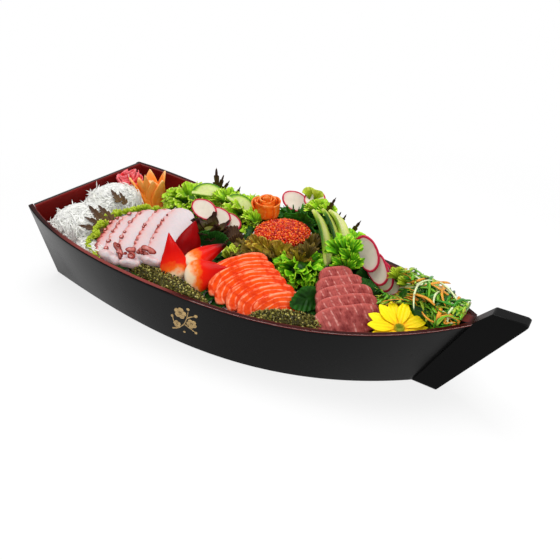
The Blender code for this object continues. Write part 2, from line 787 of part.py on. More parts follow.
def greens(load, parent):
    """Leaves and soft garnishes, which give way to everything laid before them.

    Each has a place, its radii in hundredths of the rim's length, its yaw, lobes and ruffle.
    """
    clumps = (
        ("salmon_rose", "salmon", spot(0.485, 0.580, 7.2), (3.4, 3.4, 3.2), 0, 5, 0.10),
        ("lettuce_back", "lettuce", spot(0.560, 0.800, 2.8), (8.0, 3.4, 4.8), -8, 9, 0.10),
        ("lettuce_mid", "lettuce", spot(0.425, 0.610, 2.2), (8.0, 4.8, 4.8), -8, 11, 0.12),
        ("lettuce_stern", "lettuce", spot(0.235, 0.570, -0.2), (8.0, 5.4, 4.8), 0, 9, 0.12),
        ("lettuce_front", "lettuce", spot(0.640, 0.070, 1.0), (4.8, 5.0, 4.2), 40, 8, 0.14),
        ("lettuce_bow", "lettuce", spot(0.720, 0.620, 1.4), (8.4, 5.0, 4.6), -38, 9, 0.12),
        ("red_lettuce_left", "red_lettuce", spot(0.395, 0.070, 1.6), (4.8, 4.4, 4.4), 40, 8, 0.14),
        ("red_lettuce_front", "red_lettuce", spot(0.545, 0.050, 2.0), (7.2, 3.2, 3.4), 34, 10, 0.13),
        ("frill_stern", "lettuce", spot(0.180, -0.160, -2.6), (2.4, 9.2, 3.4), -22, 10, 0.13),
        ("ginger", "ginger", spot(0.052, 0.480, -2.8), (2.8, 3.6, 5.4), 30, 5, 0.14),
        ("daikon_mound", "daikon", spot(0.082, -0.270, -3.5), (5.4, 12.4, 4.6), -8, 9, 0.08),
        ("sea_grapes_1", "sea_grapes", spot(0.441, -0.830, -1.6), (10.4, 2.3, 2.4), -5, 12, 0.08),
        ("sea_grapes_2", "sea_grapes", spot(0.700, -0.790, -1.8), (7.2, 2.1, 2.4), 24, 10, 0.08),
        ("seaweed_salad", "seaweed", spot(0.900, 0.240, -1.6), (10.0, 5.0, 4.8), -30, 11, 0.07),
    )
    for name, finish, place, radii, yaw, lobes, ruffle in clumps:
        load.add(name, finish, lump(place, HUNDREDTH * np.array(radii), yaw, lobes, ruffle), parent)


def build():
    clear_scene()
    load = Load()
    hull = carrier("hull", (0, 0, 0))
    deck_lift = carrier("deck_lift", (0, 0, DECK_LEVEL))
    dish_lift = carrier("dish_lift", spot(0.555, 0.388, 3.42))

    load.add("stem_post", "black_lacquer", stem_post(), hull)
    load.add("starboard_side", "black_lacquer", side_plank(-1), hull)
    load.add("port_side", "black_lacquer", side_plank(1), hull)
    load.add("transom", "black_lacquer", transom(), hull)
    inside_stern = transom_face(0.0) + TRANSOM_THICKNESS + BOARD_FIT
    floor_bow = STERN_X + FLOOR_END - STEM_TAIL - BOARD_FIT
    floor = board(0.0, FLOOR_THICKNESS, inside_stern, floor_bow, 0.0, FLOOR_THICKNESS)
    load.add("bottom_board", "black_lacquer", floor, hull)

    bow_end = deck_end()
    slots = slot_cutter(inside_stern, bow_end)
    deck_top = DECK_LEVEL + DECK_THICKNESS
    deck = board(DECK_LEVEL, deck_top, inside_stern, bow_end, DECK_LEVEL, DECK_LEVEL)
    load.add("deck", "red_lacquer", deck, deck_lift, holes=[slots])
    bpy.data.objects.remove(slots, do_unlink=True)

    fan(load, deck_lift, "salmon", "salmon", spot(0.585, -0.128, 2.32), 42, 46,
        SALMON_LENGTHS, SALMON_WIDTH, SALMON_THICKNESS, SALMON_DROP, SALMON_SLIDE, SALMON_DROOP)
    fan(load, deck_lift, "tuna", "tuna", spot(0.753, 0.232, 0.76), 46, 46,
        TUNA_LENGTHS, TUNA_WIDTH, TUNA_THICKNESS, TUNA_DROP, TUNA_SLIDE)
    octopus_slices(load, deck_lift)
    clam_tongues(load, deck_lift)
    roe_and_dish(load, dish_lift)
    radish_slices(load, deck_lift)
    cucumber_slices(load, deck_lift)
    carrot_tulip(load, deck_lift)
    flower(load, deck_lift)
    along, facing, _ = lean(70, 50)
    leaf = oval(SHISO_LENGTH, SHISO_WIDTH, power=1.6)
    shiso = plate(leaf, SHISO_THICKNESS, spot(0.705, -0.390, 0.0), along, facing)
    load.add("shiso_leaf", "shiso", shiso, deck_lift)
    greens(load, deck_lift)
    load.add("daikon_bed", "daikon", radish_bed(inside_stern + BED_STERN_ROOM, bow_end), deck_lift)
    load.clear_seats()


build()
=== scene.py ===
"""Looks of a lacquered sushi boat and its load of sashimi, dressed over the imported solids.

Metres, +Z up, +X to the bow, -Y to the viewer's side. Every soft solid is replaced by a
surface worked out with numpy: a grid of two parameters, or a profile carried along a path.
The places repeat the hull lines and spots that the solids were laid out with.
"""

import logging
import math
from dataclasses import dataclass
from enum import Enum
from typing import Any, Callable, Sequence

import bmesh
import bpy
import mathutils
import numpy as np
from numpy.typing import NDArray
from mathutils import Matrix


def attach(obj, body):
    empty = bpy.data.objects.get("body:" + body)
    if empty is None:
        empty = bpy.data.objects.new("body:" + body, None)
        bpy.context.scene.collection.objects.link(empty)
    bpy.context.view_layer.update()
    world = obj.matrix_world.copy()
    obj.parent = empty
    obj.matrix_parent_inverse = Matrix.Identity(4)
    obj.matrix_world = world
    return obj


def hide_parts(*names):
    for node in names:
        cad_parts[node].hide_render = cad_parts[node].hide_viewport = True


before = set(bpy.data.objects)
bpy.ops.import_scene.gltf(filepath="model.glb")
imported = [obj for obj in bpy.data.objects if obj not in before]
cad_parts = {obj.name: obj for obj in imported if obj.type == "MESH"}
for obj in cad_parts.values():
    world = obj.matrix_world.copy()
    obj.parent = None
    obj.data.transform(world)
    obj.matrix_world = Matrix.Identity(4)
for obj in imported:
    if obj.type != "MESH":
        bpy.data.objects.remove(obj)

Array = NDArray[np.float64]
Socket = bpy.types.NodeSocket
Pair = tuple[float, float]
Triple = tuple[float, float, float]
Lift = Callable[[Array, Array], Array]
Margin = Callable[[Array, Array, Array], Array]

LOG = logging.getLogger("sushi_boat")
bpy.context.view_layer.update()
UP = np.array((0.0, 0.0, 1.0))
MM = 0.001
TURN = 2 * math.pi
# The way to the viewer, and the way to the right as the viewer sees it.
VIEW = np.array((0.468, -0.694, 0.547))
SCREEN = np.array((0.829, 0.559, 0.0))
LEAF_THICKNESS = 0.0006


class Body(Enum):
    """The CAD bodies that pieces ride on."""

    HULL = "hull"
    LOAD = "deck_load"
    DISH = "dish"


class LeafKind(Enum):
    """Ways a leaf's margin is cut."""

    FRILLED = "frilled"
    OAK = "oak"
    FOLDED = "folded"
    SPIKED = "spiked"
    LITTER = "litter"


# Directions and hull lines.

def unit(vector: Any) -> Array:
    """The vector, or each vector along the last axis, at length 1."""
    vector = np.asarray(vector, dtype=float)
    return vector / np.maximum(np.linalg.norm(vector, axis=-1, keepdims=True), 1e-12)


def lean(yaw: float, tilt: float) -> tuple[Array, Array, Array]:
    """Directions of a slice whose upper edge is level and which leans back.

    Args:
        yaw: turn of the upper edge from +X, in degrees.
        tilt: how far the face leans from level, in degrees.

    Returns:
        The directions along the upper edge, out of the face, and level towards the viewer.
    """
    yaw, tilt = math.radians(yaw), math.radians(tilt)
    along = np.array((math.cos(yaw), math.sin(yaw), 0.0))
    ahead = np.array((math.sin(yaw), -math.cos(yaw), 0.0))
    return along, ahead * math.sin(tilt) + UP * math.cos(tilt), ahead


def axes(along: Array, facing: Array) -> tuple[Array, Array, Array]:
    """Length, down-slope and face directions, with the face made square to the length."""
    e1 = unit(along)
    e3 = unit(np.asarray(facing, dtype=float) - np.dot(facing, e1) * e1)
    return e1, np.cross(e1, e3), e3


def golden(i: Array) -> Array:
    """Angles that step by the golden angle, in radians."""
    return i * math.pi * (3 - math.sqrt(5))


def round_angles(count: int) -> Array:
    """Even angles once round, in radians."""
    return TURN * np.arange(count) / count


def smooth(low: float, high: float, value: Array) -> Array:
    """Smooth step from 0 at low to 1 at high: 3t^2 - 2t^3."""
    t = np.clip((value - low) / (high - low), 0.0, 1.0)
    return t * t * (3 - 2 * t)


@dataclass(frozen=True)
class HullLines:
    """Lines of the hull: Bezier control values from the transom to the stem, in metres."""

    rim_length: float = 0.500
    stem_reach: float = 0.0425
    floor_start: float = 0.0036
    floor_length: float = 0.4555
    plank: float = 0.006
    rim_halves: tuple[float, ...] = (0.0877, 0.1321, 0.0733, 0.1256, 0.0098)
    sheer: tuple[float, ...] = (0.0987, 0.0646, 0.0580, 0.0878)
    floor_halves: tuple[float, ...] = (0.0756, 0.0908, 0.1018, 0.1017, 0.0061)

    @property
    def stern_x(self) -> float:
        """Place of the transom's top along the boat."""
        return -(self.rim_length + self.stem_reach) / 2

    @staticmethod
    def bezier(controls: Sequence[float], t: Any) -> Array:
        """Bezier polynomial: the sum of the controls times Bernstein's polynomials of t."""
        t = np.asarray(t, dtype=float)
        n = len(controls) - 1
        return sum(math.comb(n, i) * t**i * (1 - t)**(n - i) * c for i, c in enumerate(controls))

    def slope(self, controls: Sequence[float], t: Any) -> Array:
        """Derivative of that polynomial by t."""
        n = len(controls) - 1
        return self.bezier([n * (b - a) for a, b in zip(controls, controls[1:])], t)

    def side_point(self, station: Any, rise: Any) -> tuple[Array, Array, Array]:
        """Outer face of a side, ruled straight from the floor's edge to the rim.

        Args:
            station: share of the way from the transom to the stem.
            rise: share of the way from the floor to the rim.

        Returns:
            Place along the boat, half-breadth and height.
        """
        floor_x = self.floor_start + self.floor_length * station
        floor_half = self.bezier(self.floor_halves, station)
        rim_half = self.bezier(self.rim_halves, station)
        x = self.stern_x + floor_x + rise * (self.rim_length * station - floor_x)
        return x, floor_half + rise * (rim_half - floor_half), rise * self.bezier(self.sheer, station)

    def plank_across(self, station: Any, rise: Any) -> Array:
        """Width of a plank square across the boat: its thickness over the slant of its face."""
        floor_slope = self.slope(self.floor_halves, station) / self.floor_length
        rim_slope = self.slope(self.rim_halves, station) / self.rim_length
        lengthwise = floor_slope + rise * (rim_slope - floor_slope)
        flare = self.bezier(self.rim_halves, station) - self.bezier(self.floor_halves, station)
        upwards = flare / self.bezier(self.sheer, station)
        return self.plank * np.sqrt(1 + lengthwise**2 + upwards**2)

    def inner_half(self, x: Any, z: Any) -> Array:
        """Half-breadth inside the planks: halves the span of stations until the place is met."""
        x, z = np.broadcast_arrays(np.asarray(x, dtype=float), np.asarray(z, dtype=float))
        low, high = np.zeros(x.shape), np.ones(x.shape)
        for _ in range(40):
            middle = (low + high) / 2
            ahead = self.side_point(middle, z / self.bezier(self.sheer, middle))[0] > x
            low, high = np.where(ahead, low, middle), np.where(ahead, middle, high)
        rise = z / self.bezier(self.sheer, low)
        return self.side_point(low, rise)[1] - self.plank_across(low, rise)

    def spot(self, station: float, share: float, above: float) -> Array:
        """A place in the load: station along the rim, share of the half-beam, millimetres over the rim."""
        return np.array((
            self.stern_x + self.rim_length * station,
            share * float(self.bezier(self.rim_halves, station)),
            float(self.bezier(self.sheer, station)) + above * MM,
        ))


LINES = HullLines()


# Finishes.

def linear(code: str) -> tuple[float, float, float, float]:
    """Linear colour of an sRGB hex value such as '#c81e14'."""
    srgb = np.array([int(code[i:i + 2], 16) for i in (1, 3, 5)]) / 255
    values = np.where(srgb <= 0.04045, srgb / 12.92, ((srgb + 0.055) / 1.055) ** 2.4)
    return (*values.tolist(), 1.0)


def add_node(tree: bpy.types.NodeTree, kind: str, **settings: Any) -> bpy.types.Node:
    """Adds a shader node with its settings and links.

    Args:
        tree: the node tree.
        kind: the node's type without its ShaderNode prefix.
        settings: inputs by name, or in0, in1 and so on, whose value is a socket to link or a
            constant; ramp, a list of (place, hex colour) or (place, number) stops; and any
            other property of the node.

    Returns:
        The node.
    """
    node = tree.nodes.new("ShaderNode" + kind)
    ramp = settings.pop("ramp", None)
    if ramp:
        stops = node.color_ramp.elements
        while len(stops) < len(ramp):
            stops.new(1.0)
        for stop, (place, value) in zip(stops, ramp):
            stop.position = place
            stop.color = linear(value) if isinstance(value, str) else (value, value, value, 1.0)
    for key, value in settings.items():
        if key in node.bl_rna.properties:
            setattr(node, key, value)
    for key, value in settings.items():
        if key in node.bl_rna.properties:
            continue
        socket = node.inputs[int(key[2:])] if key[2:].isdigit() else node.inputs[key.replace("_", " ")]
        if isinstance(value, Socket):
            tree.links.new(value, socket)
        else:
            socket.default_value = value
    return node


MADE: dict[str, bpy.types.Material] = {}
# A wave texture's scale for one wave in a unit.
WAVE = 0.314


@dataclass(frozen=True)
class Finish:
    """A material: its common name and how its surface takes light."""

    name: str
    roughness: float = 0.4
    ior: float = 1.45
    specular: float = 0.22
    subsurface: float = 0.0
    depth_mm: float = 2.0
    scatter: Triple = (1.0, 0.4, 0.25)
    coat: float = 0.0
    metallic: float = 0.0

    def surface(self, tree: bpy.types.NodeTree) -> dict[str, Socket]:
        """Sockets that drive the shader's inputs, by input name."""
        raise NotImplementedError

    def material(self) -> bpy.types.Material:
        """The Blender material, made once."""
        if self.name in MADE:
            return MADE[self.name]
        material = MADE[self.name] = bpy.data.materials.new(self.name)
        material.use_nodes = True
        tree = material.node_tree
        shader = tree.nodes["Principled BSDF"]
        constants = {
            "Roughness": self.roughness,
            "IOR": self.ior,
            "Specular IOR Level": self.specular,
            "Subsurface Weight": self.subsurface,
            "Subsurface Scale": self.depth_mm * MM,
            "Subsurface Radius": self.scatter,
            "Coat Weight": self.coat,
            "Coat Roughness": 0.08,
            "Metallic": self.metallic,
        }
        for key, value in constants.items():
            shader.inputs[key].default_value = value
        for key, socket in self.surface(tree).items():
            tree.links.new(socket, shader.inputs[key])
        return material


@dataclass(frozen=True)
class Lacquer(Finish):
    """Polished lacquer on wood, black outside and red inside, with a faint orange peel.

    It shows a deep even colour, a clear soft reflection, and dull patches from handling; a pinkish sheen
    along the rim and a pale glint on one corner are painted into its colour.
    """

    outside: str = "#070707"
    inside: str = "#7c1713"
    inside_dark: str = "#5a0f0d"
    # Colours that stand in for light: a pinkish sheen painted on the rim and a pale glint painted on one
    # corner.
    worn: str = "#843e39"
    bare: str = "#e2cdc8"
    patch_mm: float = 60.0
    peel_mm: float = 2.5

    def surface(self, tree: bpy.types.NodeTree) -> dict[str, Socket]:
        """Black, a painted sheen on the rim, red, or a painted glint on a corner by the edge value; noise
        rubs it and gives the peel.
        """
        place = add_node(tree, "TexCoord").outputs["Object"]
        rubbed = add_node(tree, "TexNoise", Vector=place, Scale=1 / (self.patch_mm * MM), Detail=4.0)
        peel = add_node(tree, "TexNoise", Vector=place, Scale=1 / (self.peel_mm * MM), Detail=1.0)
        side = add_node(tree, "Attribute", attribute_name="edge").outputs["Fac"]
        red = add_node(tree, "ValToRGB", Fac=rubbed.outputs["Fac"],
                       ramp=[(0.30, self.inside_dark), (0.70, self.inside)])
        base = add_node(tree, "Mix", data_type="RGBA", in0=side, in6=linear(self.outside),
                        in7=red.outputs["Color"])
        # Painted sheen: edge values between black and red, as set along the rim top, mix towards the pinkish
        # sheen colour.
        rim = add_node(tree, "ValToRGB", Fac=side, ramp=[(0.20, 0.0), (0.55, 0.8), (0.80, 0.8), (0.97, 0.0)])
        rubbed_rim = add_node(tree, "Mix", data_type="RGBA", in0=rim.outputs["Color"], in6=base.outputs[2],
                              in7=linear(self.worn))
        # Painted highlight: edge values from 1.1 to 1.4 turn to the pale glint colour.
        corner = add_node(tree, "MapRange", in0=side, in1=1.1, in2=1.4, in3=0.0, in4=1.0)
        colour = add_node(tree, "Mix", data_type="RGBA", in0=corner.outputs[0], in6=rubbed_rim.outputs[2],
                          in7=linear(self.bare))
        rough = add_node(tree, "MapRange", in0=rubbed.outputs["Fac"], in1=0.3, in2=0.75,
                         in3=self.roughness * 0.85, in4=self.roughness * 1.35)
        bump = add_node(tree, "Bump", Height=peel.outputs["Fac"], Strength=0.05, Distance=0.0004)
        return {
            "Base Color": colour.outputs[2],
            "Roughness": rough.outputs[0],
            "Normal": bump.outputs["Normal"],
        }


@dataclass(frozen=True)
class LayeredFish(Finish):
    """Sliced salmon: orange muscle, pale fat lines curving about the backbone, a painted highlight at the
    rim.
    """

    muscle: str = "#fa5408"
    deep: str = "#dc3402"
    fat: str = "#ffb088"
    layer_mm: float = 4.2
    focus_mm: Pair = (14.0, 17.0)
    stretch: float = 0.62

    def surface(self, tree: bpy.types.NodeTree) -> dict[str, Socket]:
        """Rings about a point off the lower edge, bent by noise, over muscle; a painted highlight pales its
        rim.
        """
        grain = add_node(tree, "Attribute", attribute_name="grain").outputs["Vector"]
        tone = add_node(tree, "Attribute", attribute_name="tone").outputs["Fac"]
        shift = add_node(tree, "CombineXYZ", X=tone, Y=tone)
        jitter = add_node(tree, "VectorMath", operation="MULTIPLY_ADD", in0=shift.outputs[0],
                          in1=(9.0, 5.0, 0.0), in2=grain)
        rings_at = add_node(tree, "Mapping", Vector=jitter.outputs[0],
                            Location=(-self.focus_mm[0] * self.stretch, -self.focus_mm[1], 0.0),
                            Scale=(self.stretch, 1.0, 0.0))
        wave = add_node(tree, "TexWave", wave_type="RINGS", rings_direction="Z", Vector=rings_at.outputs[0],
                        Scale=WAVE / self.layer_mm, Distortion=3.0, Detail=2.5, Detail_Scale=1.0)
        mottle = add_node(tree, "TexNoise", Vector=jitter.outputs[0], Scale=0.16, Detail=3.0)
        faded = add_node(tree, "MapRange", in0=mottle.outputs["Fac"], in1=0.34, in2=0.62, in3=0.72, in4=1.0)
        broken = add_node(tree, "Math", operation="MULTIPLY", in0=wave.outputs["Fac"], in1=faded.outputs[0])
        fat = add_node(tree, "ValToRGB", Fac=broken.outputs[0],
                       ramp=[(0.74, 0.0), (0.93, 0.42), (1.0, 0.85)])
        muscle = add_node(tree, "ValToRGB", Fac=mottle.outputs["Fac"],
                          ramp=[(0.35, self.deep), (0.62, self.muscle)])
        flesh = add_node(tree, "Mix", data_type="RGBA", in0=fat.outputs["Color"],
                         in6=muscle.outputs["Color"], in7=linear(self.fat))
        # Painted highlight: towards the margin, in noisy patches, the colour pales to the fat colour as where
        # light catches the edge.
        edge = add_node(tree, "Attribute", attribute_name="edge").outputs["Fac"]
        rim = add_node(tree, "MapRange", in0=edge, in1=0.86, in2=1.0, in3=0.0, in4=0.40)
        pale = add_node(tree, "MapRange", in0=mottle.outputs["Fac"], in1=0.42, in2=0.60, in3=0.0, in4=1.0)
        lip = add_node(tree, "Math", operation="MULTIPLY", in0=rim.outputs[0], in1=pale.outputs[0])
        colour = add_node(tree, "Mix", data_type="RGBA", in0=lip.outputs[0], in6=flesh.outputs[2],
                          in7=linear(self.fat))
        fibre = add_node(tree, "TexNoise", Vector=grain, Scale=0.9, Detail=2.0)
        relief = add_node(tree, "Math", operation="MULTIPLY_ADD", in0=fat.outputs["Color"], in1=0.5,
                          in2=fibre.outputs["Fac"])
        bump = add_node(tree, "Bump", Height=relief.outputs[0], Strength=0.35, Distance=0.0006)
        return {"Base Color": colour.outputs[2], "Normal": bump.outputs["Normal"]}


@dataclass(frozen=True)
class SinewedFish(Finish):
    """Sliced tuna: dark red muscle, fine fibres, a few pale sinews across the slice, a painted highlight at
    its edge.
    """

    muscle: str = "#761a1a"
    pale: str = "#be5c55"
    sinew: str = "#d89a90"
    sinew_mm: float = 7.5
    fibre_mm: float = 1.4
    slant: float = 0.22

    def surface(self, tree: bpy.types.NodeTree) -> dict[str, Socket]:
        """Bands along the slice, bent by noise, over noise drawn out into fibres; a painted highlight pales
        its edge.
        """
        grain = add_node(tree, "Attribute", attribute_name="grain").outputs["Vector"]
        tone = add_node(tree, "Attribute", attribute_name="tone").outputs["Fac"]
        shift = add_node(tree, "CombineXYZ", X=tone)
        jitter = add_node(tree, "VectorMath", operation="MULTIPLY_ADD", in0=shift.outputs[0],
                          in1=(40.0, 0.0, 0.0), in2=grain)
        slanted = add_node(tree, "Mapping", Vector=jitter.outputs[0], Rotation=(0.0, 0.0, self.slant))
        wave = add_node(tree, "TexWave", wave_type="BANDS", bands_direction="X", Vector=slanted.outputs[0],
                        Scale=WAVE / self.sinew_mm, Distortion=3.4, Detail=2.5, Detail_Scale=0.8)
        drawn = add_node(tree, "Mapping", Vector=slanted.outputs[0], Scale=(1.0, 0.22, 0.6))
        fibre = add_node(tree, "TexNoise", Vector=drawn.outputs[0], Scale=1 / self.fibre_mm, Detail=3.0)
        patches = add_node(tree, "TexNoise", Vector=jitter.outputs[0], Scale=0.17, Detail=4.0)
        broken = add_node(tree, "Math", operation="MULTIPLY", in0=wave.outputs["Fac"],
                          in1=patches.outputs["Fac"])
        lines = add_node(tree, "ValToRGB", Fac=broken.outputs[0], ramp=[(0.50, 0.0), (0.62, 0.85)])
        mixed = add_node(tree, "Math", operation="MULTIPLY_ADD", in0=fibre.outputs["Fac"], in1=0.6,
                         in2=patches.outputs["Fac"])
        edge = add_node(tree, "Attribute", attribute_name="edge").outputs["Fac"]
        # Painted highlight: the margin is lifted towards the pale colour.
        worn = add_node(tree, "MapRange", in0=edge, in1=0.84, in2=1.0, in3=0.0, in4=0.20)
        lit = add_node(tree, "Math", operation="ADD", in0=mixed.outputs[0], in1=worn.outputs[0])
        muscle = add_node(tree, "ValToRGB", Fac=lit.outputs[0], ramp=[(0.56, self.muscle), (1.0, self.pale)])
        colour = add_node(tree, "Mix", data_type="RGBA", in0=lines.outputs["Color"],
                          in6=muscle.outputs["Color"], in7=linear(self.sinew))
        bump = add_node(tree, "Bump", Height=fibre.outputs["Fac"], Strength=0.8, Distance=0.0008)
        return {"Base Color": colour.outputs[2], "Normal": bump.outputs["Normal"]}


@dataclass(frozen=True)
class Graded(Finish):
    """Skin, flesh or leaf whose colour runs from its middle to its margin, with mottling.

    stops are colours by edge value. mottle_mm is the size of its blotches, blotch and shade
    how far they move and darken the colour, relief how deep they pit it, in millimetres, and
    drawn how they are stretched.
    """

    stops: tuple[tuple[float, str], ...] = ((0.0, "#ffffff"), (1.0, "#808080"))
    mottle_mm: float = 4.0
    blotch: float = 0.12
    shade: float = 0.25
    relief: float = 0.3
    drawn: Triple = (1.0, 1.0, 1.0)

    def surface(self, tree: bpy.types.NodeTree) -> dict[str, Socket]:
        """A colour ramp over the edge value moved by noise; the noise also shades and pits it."""
        grain = add_node(tree, "Attribute", attribute_name="grain").outputs["Vector"]
        edge = add_node(tree, "Attribute", attribute_name="edge").outputs["Fac"]
        tone = add_node(tree, "Attribute", attribute_name="tone").outputs["Fac"]
        drawn = add_node(tree, "Mapping", Vector=grain, Scale=self.drawn)
        noise = add_node(tree, "TexNoise", noise_dimensions="4D", Vector=drawn.outputs[0], W=tone,
                         Scale=1 / self.mottle_mm, Detail=3.0)
        moved = add_node(tree, "MapRange", in0=noise.outputs["Fac"], in1=0.25, in2=0.75,
                         in3=-self.blotch, in4=self.blotch)
        where = add_node(tree, "Math", operation="ADD", in0=edge, in1=moved.outputs[0])
        ramp = add_node(tree, "ValToRGB", Fac=where.outputs[0], ramp=list(self.stops))
        value = add_node(tree, "MapRange", in0=noise.outputs["Fac"], in1=0.3, in2=0.7,
                         in3=1 - self.shade, in4=1 + self.shade * 0.6)
        colour = add_node(tree, "HueSaturation", Value=value.outputs[0], Color=ramp.outputs["Color"])
        bump = add_node(tree, "Bump", Height=noise.outputs["Fac"], Strength=0.6, Distance=self.relief * MM)
        return {"Base Color": colour.outputs["Color"], "Normal": bump.outputs["Normal"]}


@dataclass(frozen=True)
class Leafy(Graded):
    """A salad leaf: dull, crinkled and blotched."""

    roughness: float = 0.38
    specular: float = 0.14
    mottle_mm: float = 5.0
    blotch: float = 0.16
    shade: float = 0.22
    relief: float = 0.5


@dataclass(frozen=True)
class Mixed(Finish):
    """A heap of strands or beads, each with its own colour from a ramp over its tone."""

    stops: tuple[tuple[float, str], ...] = ((0.0, "#ffffff"), (1.0, "#808080"))
    stepped: bool = False
    patch_mm: float = 6.0

    def surface(self, tree: bpy.types.NodeTree) -> dict[str, Socket]:
        """The ramp's colour at the tone, with a slow noise in its brightness."""
        tone = add_node(tree, "Attribute", attribute_name="tone").outputs["Fac"]
        ramp = add_node(tree, "ValToRGB", Fac=tone, ramp=list(self.stops))
        ramp.color_ramp.interpolation = "CONSTANT" if self.stepped else "LINEAR"
        place = add_node(tree, "TexCoord").outputs["Object"]
        noise = add_node(tree, "TexNoise", Vector=place, Scale=1 / (self.patch_mm * MM), Detail=2.0)
        value = add_node(tree, "MapRange", in0=noise.outputs["Fac"], in1=0.3, in2=0.7, in3=0.78, in4=1.12)
        colour = add_node(tree, "HueSaturation", Value=value.outputs[0], Color=ramp.outputs["Color"])
        return {"Base Color": colour.outputs["Color"]}


@dataclass(frozen=True)
class Gilt(Finish):
    """Brushed gold paint, thin in places so that the strokes show."""

    bright: str = "#c9aa72"
    dull: str = "#94774a"
    stroke_mm: float = 1.2

    def surface(self, tree: bpy.types.NodeTree) -> dict[str, Socket]:
        """Noise drawn out along the boat mixes the bright and the dull gold."""
        place = add_node(tree, "TexCoord").outputs["Object"]
        drawn = add_node(tree, "Mapping", Vector=place, Scale=(0.25, 1.0, 1.0))
        noise = add_node(tree, "TexNoise", Vector=drawn.outputs[0], Scale=1 / (self.stroke_mm * MM),
                         Detail=3.0)
        colour = add_node(tree, "ValToRGB", Fac=noise.outputs["Fac"],
                          ramp=[(0.35, self.dull), (0.6, self.bright)])
        bump = add_node(tree, "Bump", Height=noise.outputs["Fac"], Strength=0.4, Distance=0.0002)
        return {"Base Color": colour.outputs["Color"], "Normal": bump.outputs["Normal"]}


# Satin lacquer: the reflection is kept low, as on a rubbed serving piece.
HULL_LACQUER = Lacquer("black_and_red_lacquer", roughness=0.24, ior=1.40, specular=0.095)
DECK_LACQUER = Lacquer("deck_red_lacquer", roughness=0.28, ior=1.40, specular=0.15, outside="#6e1410")
# Wet flesh: a soft gloss over colour that light sinks into.
SALMON = LayeredFish("raw_salmon", roughness=0.27, ior=1.38, specular=0.16, subsurface=0.10, depth_mm=3.0)
SALMON_ROLL = LayeredFish(
    "cured_salmon", roughness=0.30, ior=1.38, subsurface=0.10, muscle="#f88420", deep="#ee5e0c",
    fat="#fbae62")
TUNA = SinewedFish("raw_tuna", roughness=0.33, ior=1.38, specular=0.22, subsurface=0.12, depth_mm=3.0)
OCTOPUS = Graded(
    "boiled_octopus", roughness=0.32, subsurface=0.25, depth_mm=3.0,
    stops=((0.0, "#d2c6c8"), (0.30, "#d4bcbc"), (0.55, "#d4a2a0"), (0.78, "#c8766c"), (0.92, "#a8443a"),
           (1.0, "#7c2822")),
    mottle_mm=3.0, blotch=0.14, shade=0.06, relief=0.25)
CLAM = Graded(
    "surf_clam", roughness=0.24, specular=0.08, subsurface=0.04, depth_mm=3.0,
    stops=((0.0, "#f0e0c8"), (0.20, "#f2cda4"), (0.32, "#f2701e"), (0.46, "#e61c06"), (0.74, "#c20806"),
           (0.90, "#7a0406"), (1.0, "#2c0404")),
    mottle_mm=7.0, blotch=0.09, shade=0.10, relief=0.2)
CLAM_RED = Graded(
    "surf_clam_tip", roughness=0.26, specular=0.04, subsurface=0.03, depth_mm=3.0,
    stops=((0.0, "#f3b59a"), (0.14, "#960806"), (0.6, "#780204"), (1.0, "#8c0608")),
    mottle_mm=8.0, blotch=0.08, shade=0.12, relief=0.2)
# Crisp cut vegetables: pale flesh with a coloured skin at the margin.
RADISH = Graded(
    "red_radish", roughness=0.34, subsurface=0.12, depth_mm=2.5, scatter=(1.0, 0.8, 0.7),
    stops=((0.0, "#e2d8c4"), (0.70, "#e8ddcc"), (0.90, "#eaccc2"), (0.95, "#d02c4a"), (1.0, "#b8143a")),
    mottle_mm=5.0, blotch=0.03, shade=0.05, relief=0.1)
CUCUMBER = Graded(
    "sliced_cucumber", roughness=0.32, subsurface=0.2, depth_mm=2.5, scatter=(0.6, 1.0, 0.3),
    stops=((0.0, "#c6d478"), (0.30, "#dbe39c"), (0.66, "#d2de88"), (0.80, "#a2c644"), (0.90, "#6ea01e"),
           (1.0, "#2e6410")),
    mottle_mm=3.0, blotch=0.06, shade=0.10, relief=0.2)
CUCUMBER_STRIP = Graded(
    "cucumber_peel", roughness=0.30, subsurface=0.2, depth_mm=2.0, scatter=(0.6, 1.0, 0.3),
    stops=((0.0, "#dade8a"), (0.40, "#c4cf5c"), (0.66, "#93ae2c"), (0.86, "#4c7c14"), (1.0, "#1d480c")),
    mottle_mm=3.0, blotch=0.08, shade=0.16, relief=0.2, drawn=(0.25, 1.0, 1.0))
CARROT = Graded(
    "carved_carrot", roughness=0.36, subsurface=0.25, depth_mm=3.0,
    stops=((0.0, "#ff7c16"), (0.5, "#ff8e26"), (0.85, "#ffa84c"), (1.0, "#ffc482")),
    mottle_mm=4.0, blotch=0.12, shade=0.04, relief=0.4, drawn=(0.35, 1.0, 1.0))
GINGER = Graded(
    "pickled_ginger", roughness=0.30, subsurface=0.25, depth_mm=2.0,
    stops=((0.0, "#f8e6e0"), (0.16, "#f08c8a"), (0.5, "#ea4c54"), (0.85, "#e62e38"), (1.0, "#f0747a")),
    mottle_mm=5.0, blotch=0.22, shade=0.12, relief=0.3, drawn=(1.0, 0.25, 1.0))
PETAL = Graded(
    "yellow_daisy_petal", roughness=0.5, subsurface=0.1, depth_mm=1.0,
    stops=((0.0, "#fcbc00"), (0.25, "#ffda00"), (1.0, "#ffec00")),
    mottle_mm=2.0, blotch=0.15, shade=0.05, relief=0.15, drawn=(0.15, 1.0, 1.0))
PORCELAIN = Graded(
    "white_glaze", roughness=0.10, ior=1.5, coat=0.5, stops=((0.0, "#e9e9e4"), (1.0, "#f2f2ee")),
    mottle_mm=12.0, blotch=0.2, shade=0.03, relief=0.05)
